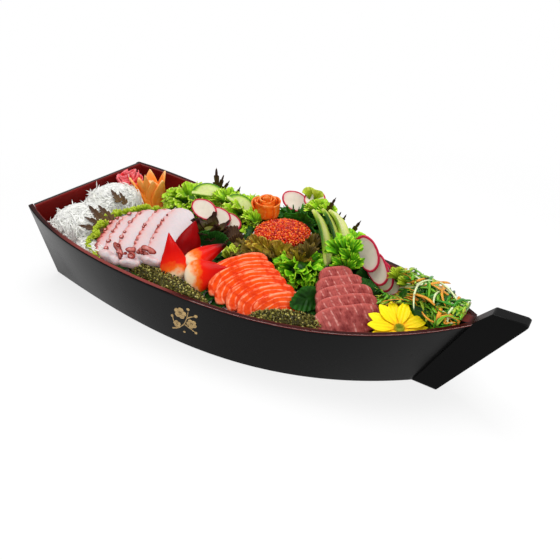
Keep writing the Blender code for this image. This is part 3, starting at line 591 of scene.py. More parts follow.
# Salad leaves, from fresh green to bronze, red and purple. The green and bronze ones run dark at the
# leaf's base, deep in the clump, to bright at the margin: partly the leaf's colour, partly painted shade.
LETTUCE = Leafy("curly_lettuce", stops=(
    (0.0, "#1c4408"), (0.40, "#35740a"), (0.70, "#58a40e"), (0.88, "#8aca1a"), (1.0, "#bce43c")))
SUNNY_LETTUCE = Leafy("sunny_lettuce", stops=(
    (0.0, "#2e560a"), (0.40, "#60960e"), (0.70, "#8ec218"), (0.88, "#b4d830"), (1.0, "#dcee74")))
DEEP_LETTUCE = Leafy("deep_green_lettuce", stops=(
    (0.0, "#0c2c06"), (0.50, "#174a0a"), (0.80, "#236410"), (1.0, "#3c8a18")))
OLIVE_LETTUCE = Leafy("olive_lettuce", blotch=0.22, shade=0.28, stops=(
    (0.0, "#2c2a0c"), (0.50, "#4a3c12"), (0.80, "#5c4a16"), (1.0, "#7c6a24")))
RED_LETTUCE = Leafy("red_oak_lettuce", roughness=0.36, mottle_mm=6.0, blotch=0.30, shade=0.30, stops=(
    (0.0, "#66661e"), (0.30, "#4e4616"), (0.60, "#3c2812"), (0.85, "#2a1610"), (1.0, "#3c1e16")))
OCHRE_LETTUCE = Leafy("bronze_lettuce", roughness=0.36, blotch=0.30, shade=0.30, stops=(
    (0.0, "#3c2c10"), (0.35, "#6e5a12"), (0.65, "#94801a"), (0.88, "#84581a"), (1.0, "#c0a83a")))
LIME_LETTUCE = Leafy("yellow_green_lettuce", mottle_mm=4.0, shade=0.20, stops=(
    (0.0, "#3c4e0a"), (0.40, "#728a12"), (0.75, "#a2b81e"), (1.0, "#ccdc50")))
PURPLE_LETTUCE = Leafy("purple_lettuce", roughness=0.36, blotch=0.20, shade=0.25, relief=0.4, stops=(
    (0.0, "#6a5230"), (0.40, "#523a26"), (0.80, "#3e281a"), (1.0, "#5c4028")))
DARK_LEAF = Leafy(
    "green_shiso", roughness=0.42, specular=0.12, mottle_mm=4.0, blotch=0.15, shade=0.25, relief=0.4,
    stops=((0.0, "#2c5a16"), (0.10, "#15400a"), (0.60, "#12360a"), (1.0, "#245a14")))
# Heaps of small wet things, each with its own colour.
DAIKON = Mixed(
    "shredded_daikon", roughness=0.34, subsurface=0.35, depth_mm=4.0, scatter=(1.0, 1.0, 0.95),
    stops=((0.0, "#f2f2ea"), (0.5, "#f8f8f2"), (1.0, "#fdfdf8")))
SEAWEED = Mixed(
    "seaweed_salad", roughness=0.20, subsurface=0.12, depth_mm=1.5, scatter=(0.5, 1.0, 0.3), stepped=True,
    stops=((0.0, "#1c5010"), (0.15, "#3c8c1c"), (0.36, "#74b028"), (0.56, "#aac83c"), (0.78, "#e09a34"),
           (0.90, "#dfeab4")))
SEA_GRAPES = Mixed(
    "olive_sea_grapes", roughness=0.30, subsurface=0.1, depth_mm=1.5,
    stops=((0.0, "#2a260c"), (0.35, "#56501c"), (0.70, "#8c8436"), (1.0, "#cfc676")))
ROE = Mixed(
    "flying_fish_roe", roughness=0.10, subsurface=0.12, depth_mm=1.5, coat=0.12,
    stops=((0.0, "#9c1002"), (0.30, "#c82404"), (0.65, "#e24006"), (1.0, "#ff8a2c")))
FLORETS = Mixed(
    "daisy_florets", roughness=0.6, stops=((0.0, "#5c7a12"), (0.6, "#8f9a1c"), (1.0, "#d8b410")))
GOLD = Gilt("gold_paint", roughness=0.42, metallic=0.35)


# Forms: meshes worked out as whole arrays.

@dataclass
class Shell:
    """A mesh in the making, with the values that its material reads.

    points are in metres. grain is a place in the pattern in millimetres, edge runs from 0 in
    the middle to 1 at the margin, and tone is one number for each leaf, strand or bead.
    """

    points: Array
    quads: Array
    triangles: Array
    grain: Array
    edge: Array
    tone: Array

    @staticmethod
    def joined(shells: Sequence["Shell"]) -> "Shell":
        """All the shells as one mesh."""
        starts = np.cumsum([0] + [len(s.points) for s in shells[:-1]])
        quads = np.concatenate([s.quads + i for s, i in zip(shells, starts)])
        triangles = np.concatenate([s.triangles + i for s, i in zip(shells, starts)])
        points, *values = (np.concatenate([getattr(s, name) for s in shells])
                           for name in ("points", "grain", "edge", "tone"))
        return Shell(points, quads, triangles, *values)

    def inside(self) -> "Shell":
        """The shell with its points drawn inside the hull."""
        self.points = keep_inside(self.points)
        return self


def sheet(points: Array, grain: Array, edge: Array, tone: Array) -> Shell:
    """Open surfaces from grids: each cell between two rows and two columns is a quad.

    Args:
        points: (sheets, rows, columns, 3).
        grain: (sheets, rows, columns, 3).
        edge: (sheets, rows, columns).
        tone: (sheets,).

    Returns:
        The shell of all the sheets.
    """
    n, rows, columns = points.shape[:3]
    i, j = np.arange(rows - 1)[:, None], np.arange(columns - 1)[None, :]
    corner = i * columns + j
    quads = np.stack((corner, corner + 1, corner + columns + 1, corner + columns), -1).reshape(-1, 4)
    starts = np.arange(n)[:, None, None] * rows * columns
    return Shell(
        points.reshape(-1, 3),
        (quads[None] + starts).reshape(-1, 4),
        np.zeros((0, 3), dtype=int),
        grain.reshape(-1, 3),
        edge.reshape(-1),
        np.repeat(tone, rows * columns),
    )


def closed(rings: Array, first: Array, last: Array, grain: Array, edge: Array, tone: Array) -> Shell:
    """Closed surfaces from stacks of closed rings, drawn together in a point at each end.

    Args:
        rings: (stacks, rings, points, 3).
        first: (stacks, 3), the point before the first ring.
        last: (stacks, 3), the point after the last ring.
        grain: as rings.
        edge: (stacks, rings, points).
        tone: (stacks,).

    Returns:
        The shell of all the stacks.
    """
    n, m, k = rings.shape[:3]
    i, j = np.arange(m - 1)[:, None], np.arange(k)[None, :]
    after = (j + 1) % k
    quads = np.stack((i * k + j, i * k + after, (i + 1) * k + after, (i + 1) * k + j), -1).reshape(-1, 4)
    here, there = np.arange(k), (np.arange(k) + 1) % k
    pole, end = np.full(k, m * k), (m - 1) * k
    fans = np.concatenate((
        np.stack((pole, there, here), -1),
        np.stack((pole + 1, end + here, end + there), -1),
    ))
    starts = np.arange(n)[:, None, None] * (m * k + 2)

    def with_poles(values: Array, a: Array, b: Array) -> Array:
        """The rings' values followed by those of the two end points."""
        flat = values.reshape((n, m * k) + values.shape[3:])
        return np.concatenate((flat, a[:, None], b[:, None]), axis=1)

    return Shell(
        with_poles(rings, first, last).reshape(-1, 3),
        (quads[None] + starts).reshape(-1, 4),
        (fans[None] + starts).reshape(-1, 3),
        with_poles(grain, grain[:, 0].mean(axis=1), grain[:, -1].mean(axis=1)).reshape(-1, 3),
        with_poles(edge, edge[:, 0].mean(axis=1), edge[:, -1].mean(axis=1)).reshape(-1),
        np.repeat(tone, m * k + 2),
    )


def single(rings: Array, first: Array, last: Array, edge: Array, tone: float = 0.5,
           grain: Array | None = None) -> Shell:
    """One closed surface, as closed makes it; its grain is its place unless another is given."""
    grain = rings / MM if grain is None else grain
    return closed(rings[None], first[None], last[None], grain[None], edge[None], np.array([tone]))


def capped(rings: Array, edge: Array, tone: float = 0.5) -> Shell:
    """One closed surface whose first and last rings are drawn together in their middles."""
    first, last = rings[[0, -1]].mean(axis=1)
    return single(rings, first, last, edge, tone)


def slab(
    outline: Array,
    thickness: float,
    place: Array,
    along: Array,
    facing: Array,
    bend: Lift | None = None,
    margin: Margin | None = None,
    crown: float = 0.0,
    rounding: float = 0.4,
    tone: float = 0.5,
) -> Shell:
    """Slice with a rounded edge.

    The outline is carried from the middle of one face, over a quarter round at each corner, to
    the middle of the other. At each step it keeps a share of its size, and bend(u, v) lifts it.

    Args:
        outline: (points, 2) about the middle of the face, in metres.
        thickness: from face to face, in metres.
        place: the middle of the slice.
        along: direction of the outline's first axis.
        facing: direction out of the face.
        bend: lift of the slice at (u, v), in metres.
        margin: edge value at (u, v, share), in place of the share itself.
        crown: how far the middle of each face swells, in metres.
        rounding: radius of the edge as a share of the thickness.
        tone: number given to the whole slice.

    Returns:
        The slice's shell.
    """
    e1, e2, e3 = axes(along, facing)
    half, radius = thickness / 2, min(rounding, 0.5) * thickness
    reach = np.linalg.norm(outline, axis=1)
    face = np.array((0.16, 0.34, 0.52, 0.68, 0.82, 0.93))
    turn = np.linspace(0, math.pi / 2, 5)
    inset = np.concatenate((np.full(len(face), radius), radius * (1 - np.sin(turn))))
    share = np.concatenate((face, np.ones(len(turn))))
    height = np.concatenate((half + crown * (1 - face**2), half - radius * (1 - np.cos(turn))))
    inset, share = np.append(inset, inset[::-1]), np.append(share, share[::-1])
    height = np.append(height, -height[::-1])
    scale = (share[:, None] * (1 - inset[:, None] / reach[None, :]))[..., None]
    flat = outline[None] * scale
    u, v = flat[..., 0], flat[..., 1]
    lift = bend or (lambda a, b: 0 * a)
    w = height[:, None] + lift(u, v)
    middle = np.zeros(1)
    top, bottom = half + crown + lift(middle, middle)[0], -half - crown + lift(middle, middle)[0]
    rings = place + u[..., None] * e1 + v[..., None] * e2 + w[..., None] * e3
    spread = share[:, None] + 0 * u
    edge = margin(u, v, spread) if margin else spread
    grain = np.stack((u, v, height[:, None] + 0 * u), -1) / MM
    return single(rings, place + top * e3, place + bottom * e3, edge, tone, grain)


def oval(length: float, width: float, power: float = 2.0, count: int = 96, droop: float = 0.0) -> Array:
    """Superellipse |2u/l|^p + |2v/w|^p = 1, whose far end droops by the square of its distance."""
    turn = round_angles(count)
    u = np.sign(np.cos(turn)) * np.abs(np.cos(turn)) ** (2 / power) * length / 2
    v = np.sign(np.sin(turn)) * np.abs(np.sin(turn)) ** (2 / power) * width / 2
    return np.stack((u, v + droop * ((1 - 2 * u / length) / 2) ** 2), 1)


def petal(length: float, width: float, point: float = 0.75, count: int = 40) -> Array:
    """Leaf or petal outline: half-width is the sine of the share of the length, to a power at the tip."""
    s = np.linspace(0, 1, count // 2 + 1)
    half = width / 2 * np.sin(math.pi * s**point) ** 0.8
    upper = np.stack((length * (s - 0.5), half), 1)
    lower = np.stack((length * (s - 0.5), -half), 1)[-2:0:-1]
    return np.concatenate((upper, lower))[::-1]


def tubes(paths: Array, radii: Array, tone: Array, sides: int = 5, flat: float = 1.0) -> Shell:
    """Closed round or flattened strands: a ring square to each path, drawn in at both ends.

    Args:
        paths: (strands, points, 3).
        radii: (strands, points), in metres.
        tone: (strands,).
        sides: points of each ring.
        flat: width of the strand as a multiple of its thickness.

    Returns:
        The shell of all the strands.
    """
    tangent = unit(np.gradient(paths, axis=1))
    guide = np.array((0.31, 0.17, 0.94))
    across = unit(np.cross(tangent, guide))
    normal = np.cross(across, tangent)
    turn = round_angles(sides)
    r = radii[:, 1:-1, None, None]
    wide, thick = flat * np.cos(turn)[:, None], np.sin(turn)[:, None]
    rings = paths[:, 1:-1, None] + r * (wide * across[:, 1:-1, None] + thick * normal[:, 1:-1, None])
    share = np.linspace(0, 1, paths.shape[1])[None, 1:-1, None] + 0 * rings[..., 0]
    length = np.linalg.norm(paths[:, -1] - paths[:, 0], axis=1)[:, None, None] / MM
    grain = np.stack((share * length, 0 * share + turn, 0 * share), -1)
    return closed(rings, paths[:, 0], paths[:, -1], grain, share, tone)


def beads(centres: Array, radii: Array, tone: Array) -> Shell:
    """Small balls of three rings and two poles, so that hundreds of them stay light."""
    latitude = np.radians((-48, 0, 48))[:, None]
    longitude = round_angles(7)[None, :]
    ball = np.stack((
        np.cos(latitude) * np.cos(longitude),
        np.cos(latitude) * np.sin(longitude),
        np.sin(latitude) + 0 * longitude,
    ), -1)
    rings = centres[:, None, None] + radii[:, None, None, None] * ball
    poles = radii[:, None] * UP
    edge = (ball[..., 2] + 1) / 2 + 0 * rings[..., 0]
    return closed(rings, centres - poles, centres + poles, rings / MM, edge, tone)


def lathe(profile: Sequence[Pair], place: Array, count: int = 72) -> Shell:
    """Solid turned about the vertical from (radius, height) points, first and last on the axis."""
    line = np.asarray(profile, dtype=float)
    inner = line[1:-1]
    angle = round_angles(count)
    rings = np.stack((
        inner[:, :1] * np.cos(angle),
        inner[:, :1] * np.sin(angle),
        inner[:, 1:] + 0 * angle,
    ), -1) + place
    edge = np.linspace(0, 1, len(inner))[:, None] + 0 * rings[..., 0]
    return single(rings, place + line[0, 1] * UP, place + line[-1, 1] * UP, edge)


def ball(place: Array, radii: Array, yaw: float, lobes: int, ruffle: float, tone: float = 0.5) -> Shell:
    """Soft clump: an ellipsoid whose radius swells and dips in waves round its waist."""
    latitude = math.pi * (np.arange(1, 20) / 20 - 0.5)[:, None]
    longitude = TURN * (np.arange(64) / 64)[None, :]
    swell = 1 + ruffle * np.cos(latitude) ** 2 * np.cos(lobes * longitude + 2.5 * latitude)
    x = radii[0] * swell * np.cos(latitude) * np.cos(longitude)
    y = radii[1] * swell * np.cos(latitude) * np.sin(longitude)
    c, s = math.cos(math.radians(yaw)), math.sin(math.radians(yaw))
    rings = place + np.stack((c * x - s * y, s * x + c * y, radii[2] * np.sin(latitude) + 0 * x), -1)
    top = radii[2] * UP
    edge = (np.sin(latitude) + 1) / 2 + 0 * x
    return single(rings, place - top, place + top, edge, tone)


def on_ellipsoid(
    place: Array, radii: Array, yaw: float, azimuth: Array, height: Array,
) -> tuple[Array, Array]:
    """Points on an ellipsoid and the outward directions there.

    Args:
        place: its centre.
        radii: its three radii.
        yaw: its turn about the vertical, in degrees.
        azimuth: angles round the vertical, in radians.
        height: from -1 at the lowest point to 1 at the highest.

    Returns:
        Points and unit normals, both (n, 3).
    """
    waist = np.sqrt(np.maximum(1 - height**2, 0))
    ball_points = np.stack((waist * np.cos(azimuth), waist * np.sin(azimuth), height), -1)
    c, s = math.cos(math.radians(yaw)), math.sin(math.radians(yaw))
    turn = np.array(((c, -s, 0), (s, c, 0), (0, 0, 1)))
    return place + (ball_points * radii) @ turn.T, unit((ball_points / radii) @ turn.T)


def scattered(
    draw: np.random.Generator, place: Array, radii: Array, yaw: float, count: int, lowest: float,
    highest: float = 1.0,
) -> tuple[Array, Array]:
    """Random points between two heights on an ellipsoid, and the outward directions there."""
    azimuth, height = draw.uniform(0, TURN, count), draw.uniform(lowest, highest, count)
    return on_ellipsoid(place, radii, yaw, azimuth, height)


# Spot of the dish's rim.
DISH_SPOT = (0.555, 0.388, 17.1)
# What stays clear, in metres: the dish's way up, the planks, the stem and the ends of the boat.
DISH_CLEAR, DISH_BELOW = 0.0362, 0.028
HULL_CLEAR, LEAST_HALF, RIM_EASE = 0.0008, 0.001, 0.004
STEM_FOOT, STEM_HEAD, STEM_HALF = 0.1719, 0.2127, 0.0078
LOAD_AFT, LOAD_FORE = 0.0135, 0.490


def keep_inside(points: Array) -> Array:
    """Draws points in under the rim to the planks' inner faces, off the stem, and out of the dish's way up.

    Below the rim, the breadth is held to the inner half-breadth there. Above the dish's foot,
    a point nearer its axis than the clear radius is moved straight out to that radius.
    """
    x, y, z = np.moveaxis(points, -1, 0)
    station = np.clip((x - LINES.stern_x) / LINES.rim_length, 0, 1)
    sheer = LINES.bezier(LINES.sheer, station)
    half = np.maximum(LINES.inner_half(x, np.minimum(z, sheer)) - HULL_CLEAR, LEAST_HALF)
    y = np.where(z < sheer + RIM_EASE, np.clip(y, -half, half), y)
    x = np.clip(x, LINES.stern_x + LOAD_AFT, LINES.stern_x + LOAD_FORE)
    stem_aft = STEM_FOOT + (STEM_HEAD - STEM_FOOT) * z / LINES.sheer[-1] - HULL_CLEAR
    x = np.where((np.abs(y) < STEM_HALF) & (z < LINES.sheer[-1]), np.minimum(x, stem_aft), x)
    centre = LINES.spot(*DISH_SPOT)
    dx, dy = x - centre[0], y - centre[1]
    away = np.maximum(np.hypot(dx, dy), 1e-6)
    push = np.where((away < DISH_CLEAR) & (z > centre[2] - DISH_BELOW), DISH_CLEAR / away, 1.0)
    return np.stack((centre[0] + dx * push, centre[1] + dy * push, z), -1)


# How far behind a slice's middle a tucked point ends, in metres.
TUCK_DEPTH = 0.004
# Middles of radish slices and the radius to keep clear before them, in millimetres.
RADISH_BACKS = (((-62.9, 33.0, 85.0), 13.0), ((-77.1, 29.5, 89.2), 15.0), ((120.5, 37.5, 83.0), 16.0),
                ((127.6, 38.2, 76.2), 14.0), ((130.0, 38.6, 67.0), 9.5), ((138.0, 38.4, 66.0), 9.0))


def tucked(points: Array, backs: tuple[tuple[Any, float], ...]) -> Array:
    """Points pressed back along the sight line where they would hang before a slice.

    Args:
        points: of leaves or strands.
        backs: middle of each slice and the radius to keep clear, in millimetres.

    Returns:
        The points; the press eases off from 0.9 to 1.25 of the radius.
    """
    for place, radius in backs:
        away = points - MM * np.array(place)
        depth = away @ VIEW
        aside = np.linalg.norm(np.cross(away, VIEW), axis=-1) / (MM * radius)
        press = np.maximum(depth + TUCK_DEPTH, 0) * (1 - smooth(0.9, 1.25, aside))
        points = points - press[..., None] * VIEW
    return points


def make_piece(
    name: str,
    shell: Shell,
    finish: Finish,
    nodes: Sequence[str] = (),
    thickness: float = 0.0,
    sharp: float = 180.0,
    body: Body = Body.LOAD,
) -> bpy.types.Object:
    """Puts a shell into Blender as a dressed piece that rides on a body.

    Args:
        name: the piece's name.
        shell: its mesh.
        finish: its material.
        nodes: CAD nodes that it stands for.
        thickness: of a leaf, given to an open sheet with Solidify, in metres.
        sharp: edges that turn by more than this many degrees stay crisp.
        body: the CAD body it moves with.

    Returns:
        The object.
    """
    mesh = bpy.data.meshes.new(name)
    quads, triangles = shell.quads, shell.triangles
    mesh.vertices.add(len(shell.points))
    mesh.vertices.foreach_set("co", shell.points.astype(np.float32).ravel())
    mesh.loops.add(quads.size + triangles.size)
    corners = np.concatenate((quads.ravel(), triangles.ravel()))
    mesh.loops.foreach_set("vertex_index", corners.astype(np.int32))
    mesh.polygons.add(len(quads) + len(triangles))
    starts = np.concatenate((np.arange(len(quads)) * 4, quads.size + np.arange(len(triangles)) * 3))
    mesh.polygons.foreach_set("loop_start", starts.astype(np.int32))
    mesh.update(calc_edges=True)
    for label, kind, values, key in (
        ("grain", "FLOAT_VECTOR", shell.grain, "vector"),
        ("edge", "FLOAT", shell.edge, "value"),
        ("tone", "FLOAT", shell.tone, "value"),
    ):
        mesh.attributes.new(label, kind, "POINT").data.foreach_set(key, values.astype(np.float32).ravel())
    if not thickness:
        work = bmesh.new()
        work.from_mesh(mesh)
        bmesh.ops.recalc_face_normals(work, faces=work.faces)
        # A long curved board can come out of that with its faces turned inwards.
        if work.calc_volume(signed=True) < 0 and all(edge.is_manifold for edge in work.edges):
            bmesh.ops.reverse_faces(work, faces=work.faces)
        work.to_mesh(mesh)
        work.free()
    mesh.polygons.foreach_set("use_smooth", np.ones(len(mesh.polygons), dtype=bool))
    if sharp < 180.0:
        mesh.set_sharp_from_angle(angle=math.radians(sharp))
    mesh.materials.append(finish.material())
    piece = bpy.data.objects.new(name, mesh)
    bpy.context.scene.collection.objects.link(piece)
    if thickness:
        solid = piece.modifiers.new("leaf_thickness", "SOLIDIFY")
        solid.thickness = thickness
        solid.offset = 0.0
    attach(piece, body.value)
    if nodes:
        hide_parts(*nodes)
    LOG.info("%s: %d faces on %s", name, len(mesh.polygons), body.value)
    return piece


# The boat.

@dataclass
class Hull:
    """The planked hull: two flared sides, a transom and a stem post, with a gilt spray."""

    rim_round: float = 0.0014
    rim_black: float = 0.14
    # Edge values on the rim where its painted sheen is least and most, and the share of that sheen on the far
    # rim.
    rim_red: Pair = (0.12, 0.72)
    far_wear: float = 0.35
    transom: float = 0.008
    transom_round: float = 0.0022
    board_gap: float = 0.0005
    stem_width: float = 0.0136
    stem_height: float = 0.1036
    stem_head: float = 0.0286
    stem_toe: float = 0.0237
    stem_tail: float = 0.016
    stem_ease: float = 0.0018

    def build(self) -> None:
        """Makes the boards and dresses the floor, which keeps its solid."""
        for side, name in ((-1, "starboard_side"), (1, "port_side")):
            self.board(name, name, self.plank(side))
        self.board("transom", "transom", self.stern_board())
        stem = self.board("stem", "stem_post", self.stem(), 40)
        eased = stem.modifiers.new("eased_edges", "BEVEL")
        eased.width, eased.segments, eased.limit_method = self.rim_round, 3, "ANGLE"
        for node, finish in (("bottom_board", HULL_LACQUER), ("deck", DECK_LACQUER)):
            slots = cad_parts[node].data.materials
            slots.clear()
            slots.append(finish.material())

    @staticmethod
    def board(name: str, node: str, shell: Shell, sharp: float = 50) -> bpy.types.Object:
        """Puts one lacquered board in place of its solid."""
        return make_piece(f"lacquered_{name}", shell, HULL_LACQUER, (node,), sharp=sharp,
                          body=Body.HULL)

    def plank(self, side: int) -> Shell:
        """A side: its section is carried along the stations.

        The section runs up the outer face, over two quarter rounds at the rim and down the
        inner face. Each point lies at a distance across from the outer face and a drop below
        the rim, both made of a fixed length and a share of the plank's own size.

        Args:
            side: -1 for starboard, 1 for port.

        Returns:
            The plank's shell; its edge value is 0 where it is black and 1 where it is red. On the rim it
            sets a painted sheen, strongest from 0.3 to 0.4 of the way from the stern, weaker on the far
            rim and fading to dark at both ends; the near rim's outer corner gets a painted highlight at the
            bow.
        """
        r = self.rim_round
        turn = np.linspace(0, math.pi / 2, 6)
        up, top = np.linspace(1, 0, 17)[:-1], np.array((0.12, self.rim_black, self.rim_black + 0.05, 0.7))
        none, arc = np.zeros(16), np.zeros(6)
        outwards, inwards = r * (1 - np.cos(turn)), r * (1 - np.sin(turn))
        across_fixed = np.concatenate((none, outwards, np.zeros(4), -inwards, none))
        across_share = np.concatenate((none, arc, top, arc + 1, none + 1))
        drop_fixed = np.concatenate((none, inwards, np.zeros(4), outwards, none))
        drop_share = np.concatenate((up, arc, np.zeros(4), arc, up[::-1]))
        red = np.concatenate((none, arc, (0.0, 0.0, 1.0, 1.0), arc + 1, none + 1))
        on_rim = np.concatenate((none, arc, np.ones(4), 1 - turn / turn[-1], none))
        station = np.concatenate(([0.0, 0.004], np.linspace(0, 1, 97)[1:]))[:, None]
        height = LINES.bezier(LINES.sheer, station)
        rise = 1 - (drop_fixed + drop_share * (height - r)) / height
        x, half, z = LINES.side_point(station, rise)
        half = half - across_fixed - across_share * LINES.plank_across(station, rise)
        rings = np.stack((x, side * half, z), -1)
        # Painted sheen on the rim: it rises from the stern, holds from 0.3 to 0.4 of the way and falls back
        # towards the bow; the far rim gets less.
        worn = smooth(0.05, 0.30, station) * (1 - 0.85 * smooth(0.40, 0.50, station))
        worn = worn * (1.0 if side < 0 else self.far_wear)
        rubbed = self.rim_red[0] + (self.rim_red[1] - self.rim_red[0]) * worn
        edge = red * (1 - on_rim * (1 - rubbed))
        # Painted highlight: edge values over 1 put a pale glint on the near rim's outer corner, from midships
        # to the bow.
        corner = np.concatenate((none, (0, 0, 0, 0.5, 1, 1), (1.0, 0.8, 0.0, 0.0), arc, none))
        if side < 0:
            edge = np.maximum(edge, 1.4 * corner * smooth(0.44, 0.54, station))
        edge[0] = 0.0
        return capped(rings, edge)

    def stern_board(self) -> Shell:
        """The transom: a section with a rounded top, carried across between the planks."""
        r = self.transom_round
        turn = np.linspace(0, math.pi / 2, 6)
        top = LINES.sheer[0]
        up = np.linspace(0, top - r, 14)[:-1]
        z = np.concatenate((up, top - r + r * np.sin(turn), top - r + r * np.cos(turn), up[::-1]))
        aft = LINES.stern_x + LINES.floor_start * (1 - z / top)
        x = aft + np.concatenate((np.zeros(13), r * (1 - np.cos(turn)), self.transom - r * (1 - np.sin(turn)),
                                  np.full(13, self.transom)))
        half = LINES.inner_half(x, z) - self.board_gap
        share = np.linspace(-1, 1, 33)[:, None]
        rings = np.stack((x + 0 * share, half * share, z + 0 * share), -1)
        red = np.concatenate((np.zeros(13 + 5), (0.1, 0.1), np.ones(5 + 13)))
        return capped(rings, red * (1 - 0.9 * smooth(0.86, 0.97, np.abs(share)) * (red < 1)))

    def stem(self) -> Shell:
        """The stem post: its raked side outline, carried through its width; red where it shows inside."""
        floor_end = LINES.stern_x + LINES.floor_start + LINES.floor_length
        rim_end = LINES.stern_x + LINES.rim_length
        tip, nose = rim_end + LINES.stem_reach, 0.18 * self.stem_head
        outline = np.array((
            (floor_end - self.stem_tail, 0.0),
            (floor_end + self.stem_toe, 0.0),
            (tip - 0.35 * nose, self.stem_height - nose),
            (tip, self.stem_height - 0.3 * nose),
            (tip - 0.6 * nose, self.stem_height),
            (tip - self.stem_head, self.stem_height),
            (rim_end, LINES.sheer[-1]),
            (rim_end - self.stem_tail, LINES.sheer[-1] - 0.002),
        ))
        half = self.stem_width / 2
        inner = half - self.stem_ease
        y = np.array((-half, -inner, inner, half))[:, None]
        rings = np.stack((outline[:, 0] + 0 * y, y + 0 * outline[:, 0], outline[:, 1] + 0 * y), -1)
        return capped(rings, np.array((1.0, 0, 0, 0, 0, 0, 0.1, 1.0)) * (np.abs(y) < half))


@dataclass
class PlumSpray:
    """A gilt spray of plum blossom painted on the near side, in millimetres about its middle."""

    station: float = 0.51
    rise: float = 0.55
    paint: float = 0.00025
    blossoms: tuple[tuple[float, float, float, float], ...] = (
        (-6.0, 9.0, 8.6, 0.2), (9.5, -1.0, 7.2, 0.9), (-9.5, -9.0, 5.6, 0.5))
    buds: tuple[Triple, ...] = (
        (13.5, 12.5, 2.2), (3.5, 18.5, 1.9), (16.0, -12.0, 1.9), (-16.5, 0.5, 1.8), (1.0, -17.0, 1.6))
    twigs: tuple[tuple[Pair, ...], ...] = (
        ((-17.0, -19.0), (-8.0, -15.0), (0.0, -6.0), (3.0, 5.0), (4.0, 17.0)),
        ((0.5, -5.0), (7.0, -8.0), (12.0, -10.0), (15.5, -12.0)),
        ((3.0, 5.0), (7.0, 8.5), (10.0, 10.5), (13.0, 12.3)),
        ((-8.0, -15.0), (-13.0, -9.0), (-15.0, -4.0), (-16.3, 0.0)))

    def build(self) -> None:
        """Makes the spray as one piece of raised paint."""
        shells = [self.blossom(*b) for b in self.blossoms]
        shells += [self.disc(np.array((x, y)), r) for x, y, r in self.buds]
        shells += [self.twig(np.array(points)) for points in self.twigs]
        make_piece("gilt_plum_spray", Shell.joined(shells), GOLD, body=Body.HULL)

    def on_side(self, flat: Array, height: Array) -> Array:
        """Points on the plank's outer face: millimetres become shares of its length and height."""
        station = self.station + flat[..., 0] * MM / LINES.rim_length
        rise = self.rise + flat[..., 1] * MM / LINES.bezier(LINES.sheer, self.station)
        x, half, z = LINES.side_point(station, rise)
        return np.stack((x, -half - height, z), -1)

    def disc(self, middle: Array, radius: float, start: float = 0.0, notch: float = 0.0) -> Shell:
        """A flat dab of paint: rings of its outline, notched at the start, from its middle over its edge."""
        turn = round_angles(40)
        reach = radius * (1 - notch * np.cos(turn - start) ** 8)
        share = np.array((0.4, 0.75, 0.93, 1.0, 1.0))[:, None]
        height = np.array((1.0, 1.0, 0.9, 0.4, -0.6))[:, None] * self.paint
        flat = middle + (share * reach)[..., None] * np.stack((np.cos(turn), np.sin(turn)), -1)
        rings = self.on_side(flat, height + 0 * turn)
        first = self.on_side(middle, np.array(self.paint))
        last = self.on_side(middle, np.array(-0.6 * self.paint))
        return single(rings, first, last, share + 0 * turn)

    def blossom(self, x: float, y: float, radius: float, start: float) -> Shell:
        """Five round petals about an eye with a ring of dots, each petal a dab of its own."""
        around = start + round_angles(5)
        middles = np.array((x, y)) + 0.56 * radius * np.stack((np.cos(around), np.sin(around)), -1)
        petals = [self.disc(m, 0.40 * radius, a, 0.12) for m, a in zip(middles, around)]
        return Shell.joined(petals + [self.disc(np.array((x, y)), 0.13 * radius)])

    def twig(self, points: Array) -> Shell:
        """A tapering brush stroke along a smooth line through its points."""
        s = np.linspace(0, len(points) - 1, 40)
        knots = np.arange(len(points))
        line = np.stack([np.interp(s, knots, points[:, i]) for i in (0, 1)], -1)
        kernel = np.ones(9) / 9
        padded = np.concatenate((np.repeat(line[:1], 4, 0), line, np.repeat(line[-1:], 4, 0)))
        line = np.stack([np.convolve(padded[:, i], kernel, "valid") for i in (0, 1)], -1)
        tangent = unit(np.gradient(line, axis=0))
        normal = np.stack((-tangent[:, 1], tangent[:, 0]), -1)
        width = np.linspace(1.15, 0.35, 40)[:, None]
        offsets = ((-1, -0.6), (-0.95, 0.5), (0, 1.0), (0.95, 0.5), (1, -0.6))
        section = [self.on_side(line + k * width * normal, np.full(40, h * self.paint)) for k, h in offsets]
        rings = np.stack(section, 1)
        return capped(rings, 0 * rings[..., 0] + 0.5)


# Fish and shellfish.

def uneven(outline: Array, amount: float, seed: int, waves: Sequence[int] = (2, 3, 5, 7)) -> Array:
    """Outline whose reach is times 1 plus a few seeded cosine waves round it, so no two are alike."""
    draw = np.random.default_rng(seed)
    turn = np.arctan2(outline[:, 1], outline[:, 0])[:, None]
    k = np.array(waves)
    wobble = np.cos(k * turn + draw.uniform(0, TURN, len(k))) * draw.uniform(0.4, 1, len(k)) / k
    return outline * (1 + amount * wobble.sum(axis=1))[:, None]


